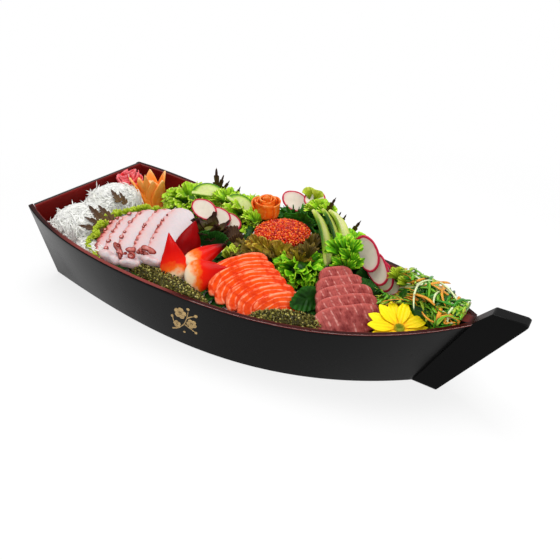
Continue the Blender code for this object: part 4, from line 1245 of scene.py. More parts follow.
@dataclass
class SliceFan:
    """Slices of fish that lean on each other, their right ends stepping down to the viewer."""

    name: str
    finish: Finish
    start: Triple
    yaw: float
    lengths: tuple[float, ...]
    width: float
    thickness: float
    drop: float
    slide: float
    droop: float = 0.0
    tilt: float = 46.0
    gap: float = 0.0005
    power: float = 3.2
    curl: float = 0.0015
    ripple: float = 0.0003
    seed: int = 1
    shifts: tuple[float, ...] = ()

    def build(self) -> None:
        """Makes each slice where its solid stands."""
        along, facing, ahead = lean(self.yaw, self.tilt)
        slope = math.radians(self.tilt)
        pitch = (self.thickness + self.gap + self.drop * math.cos(slope)) / math.sin(slope)
        step = ahead * pitch + along * self.slide - UP * self.drop
        longest = max(self.lengths)
        for i, length in enumerate(self.lengths):
            moved = self.shifts[i] if self.shifts else 0.0
            place = LINES.spot(*self.start) + i * step + along * (moved - length / 2)
            shape = oval(length, self.width, self.power, 128, self.droop * (length / longest) ** 2)
            shell = slab(uneven(shape, 0.05, self.seed + i), self.thickness, place, along, facing,
                         self.bend(length), crown=0.0003, rounding=0.30, tone=i / len(self.lengths))
            name = f"{self.name}_{i + 1}"
            make_piece(f"{name}_slice", shell, self.finish, (name,))

    def bend(self, length: float) -> Lift:
        """Lift of a slice: its ends curl back by the square of the way out, and its face ripples slowly."""
        return lambda u, v: (-self.curl * (2 * u / length) ** 2
                             + self.ripple * np.sin(9 * u / length + 60 * v))


@dataclass
class OctopusSlices:
    """Broad white slices with red, scalloped skin towards the stern, shingled up to the bow."""

    first: Triple = (0.199, -0.517, -3.7)
    last: Triple = (0.341, -0.261, 7.7)
    along: Triple = (0.365, -0.905, -0.225)
    lengths: tuple[float, ...] = (0.072, 0.081, 0.087, 0.092, 0.096)
    shifts: tuple[float, ...] = (0.0100, 0.0045, 0.0025, 0.0010, 0.0)
    closer: tuple[float, ...] = (0.0105, 0.0055, 0.0018, 0.0016, 0.0)
    cuts: tuple[float, ...] = (0.0042, 0.0044, 0.0042, 0.0046, 0.0050)
    widths: tuple[float, ...] = (0.031, 0.036, 0.038, 0.038, 0.038)
    thickness: float = 0.005
    gap: float = 0.0003
    scallop: float = 0.0018
    scallop_pitch: float = 0.0085
    suckers: int = 5
    sucker_radii: Pair = (0.0011, 0.0030)
    sucker_depth: float = 0.0016
    sucker_rise: float = 0.0009
    power: float = 2.6
    flush: Pair = (0.75, 0.45)

    def build(self) -> None:
        """Makes the slices, with round suckers on the skin of each."""
        first, last = LINES.spot(*self.first), LINES.spot(*self.last)
        step = (last - first) / (len(self.lengths) - 1)
        along = unit(self.along)
        level = unit(np.cross(along, UP))
        pitch = abs(step @ level)
        roll = math.asin(min((self.thickness + self.gap) / pitch * 1.06, 0.9))
        towards_bow = math.copysign(1, step @ level)
        facing = np.cross(level, along) * math.cos(roll) + level * math.sin(roll) * towards_bow
        for i in range(len(self.lengths)):
            place = first + i * step + self.shifts[i] * along + self.closer[i] * unit(step)
            shells = [self.slice(i, place, along, facing), *self.sucker_row(i, place, along, facing)]
            name = f"octopus_{i + 1}"
            make_piece(f"{name}_slice", Shell.joined(shells), OCTOPUS, (name,))

    def slice(self, i: int, place: Array, along: Array, facing: Array) -> Shell:
        """One slice: the side towards the stern is scalloped and its skin is red.

        Args:
            i: its number from the stern.
            place: its middle.
            along: direction of its length.
            facing: direction out of its face.

        Returns:
            The slice's shell.
        """
        length, width = self.lengths[i], self.widths[i]
        shape = oval(length, width, self.power, 160)
        skin = smooth(0.2, 0.75, 2 * shape[:, 1] / width)
        waves = np.abs(np.sin(math.pi * shape[:, 0] / self.scallop_pitch + i)) - 0.6
        shape[:, 1] += self.scallop * skin * waves
        shape = uneven(shape, 0.03, 40 + i)
        flush = self.flush[i > 0]

        def skin_edge(u: Array, v: Array, share: Array) -> Array:
            """Red in the bays of the scalloped margin, stronger in places, and a flush of pink below it."""
            side = smooth(0.1, 0.95, 2 * v / width)
            rind = smooth(0.86, 1.0, share) * smooth(-0.1, 0.35, 2 * v / width)
            bays = 1 - np.abs(np.sin(math.pi * u / self.scallop_pitch + i))
            patch = smooth(-0.5, 0.7, np.sin(105 * u + 2.1 * i))
            return np.clip(rind * (0.30 + 0.62 * bays) * (0.35 + 0.65 * patch) + flush * side, 0, 1)

        def ripple(u: Array, v: Array) -> Array:
            """Slow waves along the slice, and a lift of the skin side."""
            return 0.0008 * np.sin(7 * u / length + 1.7 * i) + 0.0012 * smooth(0.2, 1, 2 * v / width)

        return slab(shape, self.cuts[i], place, along, facing, ripple, skin_edge, 0.0002, 0.4, i / 5)

    def sucker_row(self, i: int, place: Array, along: Array, facing: Array) -> list[Shell]:
        """Dimpled discs of mixed sizes along the skin side of a slice, as cut suckers show.

        Args:
            i: the slice's number from the stern.
            place: its middle.
            along: direction of its length.
            facing: direction out of its face.

        Returns:
            The shells of the suckers.
        """
        draw = np.random.default_rng(60 + i)
        e1, e2, e3 = axes(along, facing)
        shells = []
        for u in np.linspace(-0.36, 0.38, self.suckers) + draw.uniform(-0.09, 0.09, self.suckers):
            radius = draw.uniform(*self.sucker_radii)
            rim = (1 - abs(2 * u) ** self.power) ** (1 / self.power)
            v = self.widths[i] / 2 * rim - draw.uniform(0.0004, 0.0018)
            middle = place + u * self.lengths[i] * e1 + v * e2 + (self.cuts[i] / 2 + self.sucker_rise) * e3
            out = unit(e3 + draw.uniform(0.1, 0.6) * e2 + draw.uniform(-0.3, 0.3) * e1)
            shells.append(slab(oval(2 * radius, 2 * radius, 2, 20), self.sucker_depth, middle, e1, out,
                               margin=lambda a, b, share: 0.50 + 0.46 * share**2, crown=-0.0006,
                               tone=draw.uniform()))
        return shells


@dataclass
class OctopusEnds:
    """What lies before the slices: white cut ends, flaps of dark red skin and open suckers.

    A row is a middle, a length and a width in millimetres, and the turn of the length from the
    level, in degrees, as the viewer sees it; a sucker's is its middle and its size.
    """

    ends: tuple[tuple[float, ...], ...] = (
        (-108.0, -84.0, 73.0, 24.0, 11.0, 4.0), (-87.0, -74.0, 78.0, 22.0, 10.0, 14.0),
        (-136.0, -87.0, 71.5, 28.0, 13.0, 30.0))
    flaps: tuple[tuple[float, ...], ...] = (
        (-131.0, -78.0, 79.0, 17.0, 7.0, 62.0), (-114.0, -75.0, 82.5, 13.0, 7.0, 12.0),
        (-103.0, -72.0, 84.0, 10.0, 5.5, -35.0), (-91.0, -70.0, 88.0, 16.0, 6.5, 24.0),
        (-124.0, -83.0, 75.0, 8.0, 4.5, 75.0), (-98.0, -72.0, 83.0, 12.0, 5.0, 30.0))
    suckers: tuple[tuple[float, ...], ...] = (
        (-108.5, -80.0, 79.5, 8.6), (-132.5, -76.0, 83.0, 5.0), (-99.0, -73.0, 83.5, 4.4),
        (-119.0, -79.0, 78.5, 3.8))
    end_depth: float = 0.007
    flap_depth: float = 0.0017
    sucker_depth: float = 0.0032

    def build(self) -> None:
        """Makes the ends as one piece, and the skin with its suckers as another."""
        white = [self.scrap(row, 140 + k, self.end_depth, 0.0, 0.35, 0.14) for k, row in enumerate(self.ends)]
        make_piece("octopus_end_pieces", Shell.joined(white), OCTOPUS)
        red = [self.scrap(row, 150 + k, self.flap_depth, 0.72, 1.0, 0.30) for k, row in enumerate(self.flaps)]
        for x, y, z, size in self.suckers:
            shape = oval(size * MM, 0.9 * size * MM, 2, 32)
            red.append(slab(shape, self.sucker_depth, MM * np.array((x, y, z)), SCREEN, VIEW,
                            self.hollow(size * MM), self.ring, 0.0, 0.5))
        make_piece("octopus_skin_flaps", Shell.joined(red), OCTOPUS)

    @staticmethod
    def scrap(
        row: tuple[float, ...], seed: int, thickness: float, pale: float, deep: float, ragged: float,
    ) -> Shell:
        """One ragged oval scrap that faces the viewer, its colour running from pale to deep at its rim."""
        x, y, z, length, width, turn = row
        angle = math.radians(turn)
        up = np.cross(VIEW, SCREEN)
        along = math.cos(angle) * SCREEN - math.sin(angle) * up
        shape = uneven(oval(length * MM, width * MM, 2.2, 72), ragged, seed)
        return slab(shape, thickness, MM * np.array((x, y, z)), along, VIEW + 0.35 * UP,
                    lambda u, v: 0.0012 * np.sin(400 * u + seed) - 0.0015 * (2000 * v / width) ** 2,
                    lambda u, v, share: pale + (deep - pale) * share**3, 0.0008, 0.5, seed / 7 % 1)

    @staticmethod
    def hollow(size: float) -> Lift:
        """Lift of a sucker: a raised ring about a pit, as a cosine of the way out."""
        return lambda u, v: -0.0009 * np.cos(4.6 * np.hypot(u, v) / (size / 2))

    @staticmethod
    def ring(u: Array, v: Array, share: Array) -> Array:
        """Edge value of a sucker: pale in its pit and on its lip, dark between and outside."""
        return 0.74 + 0.24 * np.cos(7.0 * share)


@dataclass
class SurfClams:
    """Surf clam tongues: cream at the base and red at the tip, each curved like a shoehorn."""

    thickness: float = 0.0065
    taper: float = 0.68
    arch: float = 0.004
    bow: float = 0.003
    # Base, tip, width, facing, ripeness at the base, how slender the tip is, and the ripest value.
    tongues: tuple[tuple[Triple, Triple, float, Triple, float, float, float], ...] = (
        ((0.434, -0.700, -7.0), (0.377, -0.458, 27.7), 0.031, (0.55, -0.65, 0.50), 0.10, 0.5, 0.72),
        ((0.408, -0.440, -3.0), (0.377, -0.058, 24.7), 0.026, (0.75, -0.35, 0.55), 0.3, 0.0, 1.0),
        ((0.435, -0.560, 5.0), (0.481, -0.162, 17.4), 0.024, (0.25, -0.40, 0.88), 0.02, 0.15, 1.0),
        ((0.455, -0.700, -1.0), (0.530, -0.420, 9.5), 0.032, (0.35, -0.55, 0.76), 0.0, 0.15, 0.72))

    def build(self) -> None:
        """Makes each tongue between its base and its tip."""
        for i, (base, tip, width, facing, ripe, slender, ripest) in enumerate(self.tongues):
            low, high = LINES.spot(*base), LINES.spot(*tip)
            length = float(np.linalg.norm(high - low))
            turn = round_angles(120)
            half = np.sin(turn) * (1 - self.taper * np.cos(turn)) * width / 2
            shape = np.stack((np.cos(turn) * length / 2, half * (1 - slender * (1 + np.cos(turn)) / 2)), 1)
            shell = slab(uneven(shape, 0.05, 80 + i), self.thickness, (low + high) / 2, high - low,
                         np.array(facing), self.curve(length, width), self.ripeness(length, ripe, ripest),
                         0.0006, 0.5, i / 4)
            name = f"clam_{i + 1}"
            make_piece(f"{name}_tongue", shell, CLAM_RED if ripe > 0.2 else CLAM, (name,))

    def curve(self, length: float, width: float) -> Lift:
        """Lift of a tongue: it arches across by the square of the way out and bows along its length."""
        return lambda u, v: -self.arch * (2 * v / width) ** 2 + self.bow * (1 - (2 * u / length) ** 2)

    @staticmethod
    def ripeness(length: float, ripe: float, ripest: float) -> Margin:
        """Edge value of a tongue: share of the way from base to tip, bent up at the sides."""
        return lambda u, v, share: np.clip(u / length + 0.5 + ripe + 0.05 * share**2, 0, ripest)


@dataclass
class RoeDish:
    """White dish heaped with flying fish roe, which lifts straight out of the load."""

    rim: Triple = DISH_SPOT
    radius: float = 0.034
    foot: float = 0.021
    depth: float = 0.024
    wall: float = 0.0022
    heap: float = 0.014
    egg: float = 0.00135
    eggs: int = 1000
    clear: float = 0.0007

    def build(self) -> None:
        """Makes the dish, then a heap of eggs over a solid core."""
        rim = LINES.spot(*self.rim)
        make_piece("glazed_roe_dish", self.dish(rim), PORCELAIN, ("roe_dish",), sharp=60,
                   body=Body.DISH)
        make_piece("roe_eggs", self.roe(rim), ROE, ("roe",), body=Body.DISH)

    def dish(self, rim: Array) -> Shell:
        """The turned wall: out and up from the foot, over a round lip, and down inside."""
        w, r, foot, low = self.wall, self.radius, self.foot, -self.depth
        waist = foot + 0.5 * (r - foot)
        lip = np.linspace(0, math.pi, 9)
        profile = [(0, low), (foot, low), (waist + 0.002, 0.45 * low)]
        profile += [(r - w / 2 + w / 2 * math.cos(a), -w / 2 + w / 2 * math.sin(a)) for a in lip]
        profile += [(waist - 0.001, 0.45 * low), (foot - w, w + low), (0, w + low)]
        return lathe(profile, rim)

    def roe(self, rim: Array) -> Shell:
        """Eggs on a golden-angle spiral over a low dome, jittered, with a core just under them, dark as
        painted shade.
        """
        draw = np.random.default_rng(7)
        i = np.arange(self.eggs)
        reach = (self.radius - self.wall) * 0.97 * np.sqrt((i + 0.5) / self.eggs)
        turn = golden(i)
        height = self.heap * np.sqrt(np.maximum(1 - (reach / self.radius) ** 2, 0)) ** 1.2
        centres = rim + np.stack((reach * np.cos(turn), reach * np.sin(turn), height - self.egg), -1)
        centres += draw.normal(0, 0.28 * self.egg, centres.shape)
        eggs = beads(centres, draw.uniform(0.82, 1.12, self.eggs) * self.egg, draw.uniform(0, 1, self.eggs))
        inner, low = self.radius - self.wall - self.clear, self.wall - self.depth + self.clear
        dome = np.linspace(0, math.pi / 2, 8)[:-1]
        core = [(0, low), (self.foot - self.wall - 0.001, low), (inner - 0.001, -0.003)]
        core += [(inner * 0.97 * math.cos(a), -0.002 + (self.heap - 0.001) * math.sin(a)) for a in dome]
        core += [(0, self.heap - 0.003)]
        body = lathe(core, rim)
        # Painted shade: the core takes a dark egg colour, so that the gaps between the eggs read dark.
        body.tone[:] = 0.1
        return Shell.joined([eggs, body])


# Cut vegetables, shreds and flowers.

def along_share(length: float) -> Margin:
    """Edge value of a petal: the share of its length."""
    return lambda u, v, share: np.clip(u / length + 0.5, 0, 1)


@dataclass
class RadishFans:
    """Thin round radish slices in fans, each slice cupped a little and laid over the next.

    A fan is the way its slices' lengths run and the way they face. A slice is its name, its
    fan, its middle, and its length and width, in millimetres.
    """

    thickness: float = 0.0024
    cup: float = 0.0016
    fans: tuple[tuple[Triple, Triple], ...] = (
        ((0.968, -0.020, -0.250), (0.157, -0.728, 0.667)), ((0.880, 0.314, -0.354), (0.472, -0.566, 0.671)),
        ((0.6025, -0.3486, -0.681), (-0.20, -0.93, 0.30)), ((0.995, -0.048, -0.090), (0.022, -0.753, 0.657)),
        ((0.83, 0.56, 0.0), (0.30, -0.55, 0.78)))
    slices: tuple[tuple[str, int, Triple, float, float], ...] = (
        ("left_1", 0, (-97.7, 26.9, 94.2), 37.0, 23.0), ("left_2", 0, (-77.1, 29.5, 89.2), 32.0, 21.0),
        ("left_3", 0, (-62.9, 33.0, 85.0), 28.0, 19.0), ("centre_1", 1, (-14.2, 94.8, 100.2), 34.0, 24.0),
        ("right_1", 2, (108.2, 40.0, 94.3), 38.0, 26.0), ("right_2", 2, (120.5, 37.5, 83.0), 37.0, 25.0),
        ("right_3", 2, (127.6, 38.2, 76.2), 34.0, 24.0), ("right_4", 3, (132.3, 38.6, 66.5), 32.0, 21.0),
        ("centre_tucked", 4, (11.5, 96.0, 108.6), 26.0, 24.0),
        ("right_tucked", 2, (103.0, 46.5, 91.8), 36.0, 27.0))

    def build(self) -> None:
        """Makes each slice; the tucked ones show behind another and have no solid."""
        for k, (name, fan, place, length, width) in enumerate(self.slices):
            along, facing = (np.array(way) for way in self.fans[fan])
            shape = uneven(oval(length * MM, width * MM, 2, 72), 0.05, 70 + k)
            shell = slab(shape, self.thickness, MM * np.array(place), along, facing,
                         self.cupped(length * MM / 2), tone=k / 7 % 1)
            nodes = () if "tucked" in name else (f"radish_{name}",)
            make_piece(f"radish_{name}_slice", shell, RADISH, nodes)

    def cupped(self, radius: float) -> Lift:
        """Lift of a slice: the square of the way out from its middle."""
        return lambda u, v: self.cup * ((u * u + v * v) / radius**2 - 0.4)


@dataclass
class Cucumber:
    """Two half slices on the far lettuce and three peeled strips beside the roe.

    A half is its spot and its turn in degrees. A strip is its top, its foot, how ripe its
    middle is, and its width in metres.
    """

    radius: float = 0.021
    thickness: float = 0.0045
    halves: tuple[tuple[Triple, float], ...] = (((0.294, 0.640, 21.5), 10.0), ((0.403, 0.655, 21.0), 42.0))
    strips: tuple[tuple[Triple, Triple, float, float], ...] = (
        ((0.597, 0.720, 42.0), (0.689, 0.215, 9.0), -0.05, 0.017),
        ((0.612, 0.810, 42.0), (0.702, 0.370, 11.0), 0.2, 0.013),
        ((0.624, 0.880, 40.0), (0.697, 0.580, 13.0), -0.25, 0.020))
    strip_facing: Triple = (0.90, 0.15, 0.55)
    strip_bow: float = 0.006
    strip_hollow: float = 18.0

    def build(self) -> None:
        """Makes the half slices and the strips where their solids stand."""
        for i, (spot, turned) in enumerate(self.halves):
            name = f"cucumber_half_{i + 1}"
            shell = self.half(LINES.spot(*spot), math.radians(turned), 0.3 + 0.4 * i)
            make_piece(f"{name}_slice", shell, CUCUMBER, (name,))
        for i, (top, foot, peel, width) in enumerate(self.strips):
            high, low = LINES.spot(*top), LINES.spot(*foot)
            length = float(np.linalg.norm(low - high))
            shape = uneven(oval(length, width, 2.3, 120), 0.03, 20 + i)
            shell = slab(shape, 0.8 * self.thickness, (high + low) / 2, low - high,
                         np.array(self.strip_facing), self.bow(length), self.peel(peel, width), 0.0, 0.35,
                         0.2 + 0.3 * i)
            name = f"cucumber_strip_{i + 1}"
            make_piece(f"{name}_peel", shell, CUCUMBER_STRIP, (name,))

    def half(self, place: Array, turned: float, tone: float) -> Shell:
        """A half slice: an arc closed by its cut edge, turned in its own plane."""
        along, facing, _ = lean(38, 48)
        e1, e2, _ = axes(along, facing)
        turn = math.pi * np.arange(61) / 60
        arc = np.stack((np.cos(turn) * self.radius, 0.8 * self.radius * (0.45 - np.sin(turn))), 1)
        cut = np.linspace(arc[-1], arc[0], 24)[1:-1]
        low = arc[0, 1]

        def rind(u: Array, v: Array, share: Array) -> Array:
            """Green towards the round edge only; the cut edge keeps the colour of the flesh."""
            return share * smooth(0.0, 0.22, (low - v) / self.radius) + 0.25 * (share < 0.3)

        way = math.cos(turned) * e1 + math.sin(turned) * e2
        return slab(np.concatenate((arc, cut)), self.thickness, place, way, facing, margin=rind,
                    rounding=0.15, tone=tone)

    def bow(self, length: float) -> Lift:
        """Lift of a strip: a shallow arch along its length, and a hollow across it."""
        return lambda u, v: self.strip_bow * (1 - (2 * u / length) ** 2) + self.strip_hollow * v * v

    @staticmethod
    def peel(ripe: float, width: float) -> Margin:
        """Edge value of a strip: least along its middle and 1 along both peeled sides."""
        return lambda u, v, share: np.clip(np.abs(2 * v / width) ** 2.0 + ripe, 0, 1)


@dataclass
class CarrotTulip:
    """A carved carrot flower: stiff petals round a core, standing in the far stern corner.

    A petal is its azimuth in degrees, its length and width, its lean in degrees, and how
    round its tip is.
    """

    place: Triple = (0.108, 0.520, -36.0)
    core_rise: float = 0.016
    core_radii: Triple = (0.0175, 0.0175, 0.025)
    petal_ring: float = 0.0120
    petal_thickness: float = 0.0026
    turned: float = -56.0
    hollow: float = 0.003
    flick: float = 0.012
    petals: tuple[tuple[float, float, float, float, float], ...] = (
        (-60.0, 0.052, 0.028, 10.0, 5.0), (5.0, 0.058, 0.017, 5.0, 1.0), (60.0, 0.049, 0.027, 12.0, 5.0),
        (120.0, 0.052, 0.024, 10.0, 4.0), (185.0, 0.050, 0.024, 10.0, 4.0), (-115.0, 0.050, 0.026, 10.0, 5.0),
        (-25.0, 0.053, 0.024, 4.0, 5.0), (30.0, 0.050, 0.022, 7.0, 5.0))

    def build(self) -> None:
        """Makes the petals about the vertical, each leaning out, and the core between them."""
        base = LINES.spot(*self.place)
        shells = [ball(base + self.core_rise * UP, np.array(self.core_radii), 0, 5, 0.10)]
        for k, (azimuth, length, width, out, round_tip) in enumerate(self.petals):
            a, o = math.radians(azimuth + self.turned), math.radians(out)
            outwards = np.array((math.cos(a), math.sin(a), 0.0))
            along = outwards * math.sin(o) + UP * math.cos(o)
            facing = outwards * math.cos(o) - UP * math.sin(o)
            middle = base + outwards * self.petal_ring + along * length / 2
            shape = petal(length, width, 0.50 + 0.05 * round_tip, 60)
            shells.append(slab(shape, self.petal_thickness, middle, along, facing, self.cup(length, width),
                               along_share(length), 0.0, 0.45, k / 7))
        make_piece("carved_carrot_flower", Shell.joined(shells), CARROT, ("carrot_tulip",))

    def cup(self, length: float, width: float) -> Lift:
        """Lift of a petal: hollow across its width, and a flick outwards at its tip."""
        return lambda u, v: (-self.hollow * (2 * v / width) ** 2
                             + self.flick * np.maximum(u / length, 0) ** 2)


@dataclass
class RolledSlices:
    """Thin slices rolled upright about a spot, each in a wider ring than the last and lower.

    foot and top are below and above the spot, heart is the radius of the first ring, ring and
    step what each next one is wider and lower by, and flare how far a slice opens upwards.
    """

    place: Triple = (0.0, 0.0, 0.0)
    slices: int = 1
    foot: float = 0.0
    top: float = 0.0
    heart: float = 0.0
    ring: float = 0.0
    step: float = 0.0
    flare: float = 0.0
    thickness: float = 0.0

    def grid(self, rows: int, columns: int) -> tuple[Array, Array, Array]:
        """Number of each slice, share across it from -1 to 1, and share up it from 0 to 1."""
        k = np.arange(self.slices)[:, None, None]
        return k, np.linspace(-1, 1, rows)[None, :, None], np.linspace(0, 1, columns)[None, None, :]

    def rolled(self, radius: Array, roll: Array, top: Array, t: Array, deep: float = 1.0) -> Array:
        """Points at a radius and a turn about the spot, at share t of the way from the foot to the top."""
        height = -self.foot + (top + self.foot) * t
        level = radius * np.cos(roll), deep * radius * np.sin(roll)
        return LINES.spot(*self.place) + np.stack((*level, height), -1)


@dataclass
class GingerSlices(RolledSlices):
    """Pink pickled ginger: thin slices rolled into a loose rose against the transom."""

    place: Triple = (0.058, 0.440, -10.0)
    slices: int = 7
    foot: float = 0.020
    top: float = 0.021
    heart: float = 0.0035
    ring: float = 0.0012
    step: float = 0.0016
    flare: float = 0.0040
    thickness: float = 0.0011

    def build(self) -> None:
        """Makes the slices as rolled sheets round the middle of the clump."""
        draw = np.random.default_rng(31)
        k, s, t = self.grid(40, 14)
        facing = math.radians(-50) + 2.4 * k + draw.uniform(-0.3, 0.3, k.shape)
        reach = self.heart + self.ring * k
        roll = facing + s * (1.6 - 0.06 * k)
        ruffle = 0.0010 * t**2 * np.sin(4.0 * s + k)
        radius = reach + self.flare * t + ruffle + 0.0020 * s**2
        top = self.top - self.step * k + 0.003 * np.sin(2.0 * s + 1.9 * k)
        points = self.rolled(radius, roll, top, t, 1.15)
        grain = np.stack((s * 12 + 0 * t + 0 * k, t * 30 + 0 * s + 0 * k, 3.0 * k + 0 * s + 0 * t), -1)
        rib = 1 - np.exp(-((s - 0.25 * np.sin(3.0 * k)) / 0.10) ** 2) * (k % 2 == 0)
        edge = np.clip(rib * (0.45 + 0.55 * t), 0, 1)
        shell = sheet(points, grain, edge, draw.uniform(0, 1, self.slices))
        make_piece("pickled_ginger_slices", shell, GINGER, ("ginger",), self.thickness)


@dataclass
class SalmonRose(RolledSlices):
    """Thin salmon slices rolled into a rose on the far lettuce."""

    place: Triple = (0.485, 0.580, 36.0)
    slices: int = 8
    foot: float = 0.013
    top: float = 0.0120
    heart: float = 0.003
    ring: float = 0.0015
    step: float = 0.0010
    flare: float = 0.0030
    thickness: float = 0.0012

    def build(self) -> None:
        """Makes rolled sheets: each ring of petals opens wider and stands lower than the one inside."""
        k, s, t = self.grid(36, 12)
        facing = -1.1 + 2.4 * k
        reach = self.heart + self.ring * k
        roll = facing + s * (1.6 - 0.07 * k)
        swell = (0.0012 + 0.0004 * k) * np.sin(math.pi * t**0.8) * (1 + 0.25 * np.sin(3 * s + k))
        radius = reach + 0.6 * swell + self.flare * t**3 * (0.3 + k / 7)
        top = self.top - self.step * k - 0.002 * s**2 + 0.0008 * np.sin(3 * s + 2 * k)
        points = self.rolled(radius, roll, top, t)
        grain = np.stack((s * 14 + 0 * t + 9 * k, t * 22 + 0 * s + 0 * k, 5.0 * k + 0 * s + 0 * t), -1)
        shell = sheet(points, grain, t + 0 * s + 0 * k, np.linspace(0, 1, self.slices))
        make_piece("salmon_rose_slices", shell, SALMON_ROLL, ("salmon_rose",), self.thickness)


@dataclass
class Daisy:
    """Yellow daisy laid on the seaweed: pointed petals in two whorls round a green eye."""

    place: Triple = (0.884, -0.400, -6.5)
    sunk: Triple = (0.0016, -0.0025, -0.0047)
    leaning: Pair = (34, 20)
    radius: float = 0.0282
    petal_width: float = 0.0120
    petals: int = 14
    petal_thickness: float = 0.0009
    eye: float = 0.0050
    eye_core: Triple = (0.0048, 0.0048, 0.0022)
    florets: int = 130

    def middle(self) -> Array:
        """Where the petals meet."""
        return LINES.spot(*self.place) + np.array(self.sunk)

    def build(self) -> None:
        """Makes the petals and the eye where their solids lie."""
        along, facing, _ = lean(*self.leaning)
        middle, (e1, e2, e3) = self.middle(), axes(along, facing)
        shells = []
        for k in range(self.petals):
            turn, whorl = TURN * (k + 0.25) / self.petals, k % 2
            out = math.cos(turn) * e1 + math.sin(turn) * e2
            length = self.radius * (0.98 - 0.06 * whorl)
            direction = unit(out + (0.02 + 0.09 * whorl) * e3)
            place = middle + 0.0032 * out + (0.0005 + 0.0008 * whorl) * e3 + direction * length / 2
            shape = petal(length, self.petal_width, 1.15, 48)
            blade = slab(shape, self.petal_thickness, place, direction, e3 - 0.2 * out,
                         self.channel(length), along_share(length), 0.0, 0.4, k / self.petals)
            shells.append(blade.inside())
        make_piece("daisy_petals", Shell.joined(shells), PETAL, ("flower_petals",))
        draw, n = np.random.default_rng(5), self.florets
        i = np.arange(n)
        reach, spin = self.eye * np.sqrt((i + 0.5) / n), golden(i)
        height = 0.0018 + 0.0018 * (1 - (reach / 0.0052) ** 2)
        centres = middle + ((reach * np.cos(spin))[:, None] * e1 + (reach * np.sin(spin))[:, None] * e2
                            + height[:, None] * e3)
        sizes = draw.uniform(0.00045, 0.0006, n)
        eye = beads(centres, sizes, np.clip(reach / self.eye + draw.normal(0, 0.1, n), 0, 1))
        core = ball(middle + 0.0012 * e3, np.array(self.eye_core), 0, 5, 0.0)
        make_piece("daisy_eye", Shell.joined([eye, core]), FLORETS, ("flower_eye",))

    @staticmethod
    def channel(length: float) -> Lift:
        """Lift of a petal: two shallow grooves along it, and a droop at its tip."""
        return lambda u, v: 0.00025 * np.cos(1900 * v) + 25 * v * v - 0.0022 * np.maximum(u / length, 0) ** 2


def strand_paths(
    draw: np.random.Generator, starts: Array, lengths: Pair, curl: float,
    lift: Pair, count: int,
) -> Array:
    """Paths that leave a point on a random heading, turn at a steady rate about the vertical, and arch.

    Args:
        draw: the random draw.
        starts: (n, 3) middles of the strands.
        lengths: least and greatest, in metres.
        curl: spread of the whole turn along a strand, in radians.
        lift: least and greatest height of the arch over its ends, in metres.
        count: points of each path.

    Returns:
        (n, count, 3) paths.
    """
    n = len(starts)
    headings, long = draw.uniform(0, TURN, n), draw.uniform(*lengths, n)
    turns, rise = draw.normal(0, curl, n), draw.uniform(*lift, n)
    s = np.linspace(-0.5, 0.5, count)
    angle = headings[:, None] + turns[:, None] * s
    step = long[:, None] / (count - 1)
    line = np.cumsum(np.stack((np.cos(angle) * step, np.sin(angle) * step), -1), axis=1)
    line -= line[:, count // 2, None]
    arch = rise[:, None] * (1 - 4 * s**2)
    return starts[:, None] + np.concatenate((line, arch[..., None]), -1)


def tapered(thick: Array, *ends: float, count: int) -> Array:
    """Radii along strands: the ends' shares at both ends of each and its whole thickness between."""
    return thick[:, None] * np.array((*ends, *[1.0] * (count - 2 * len(ends)), *ends[::-1]))


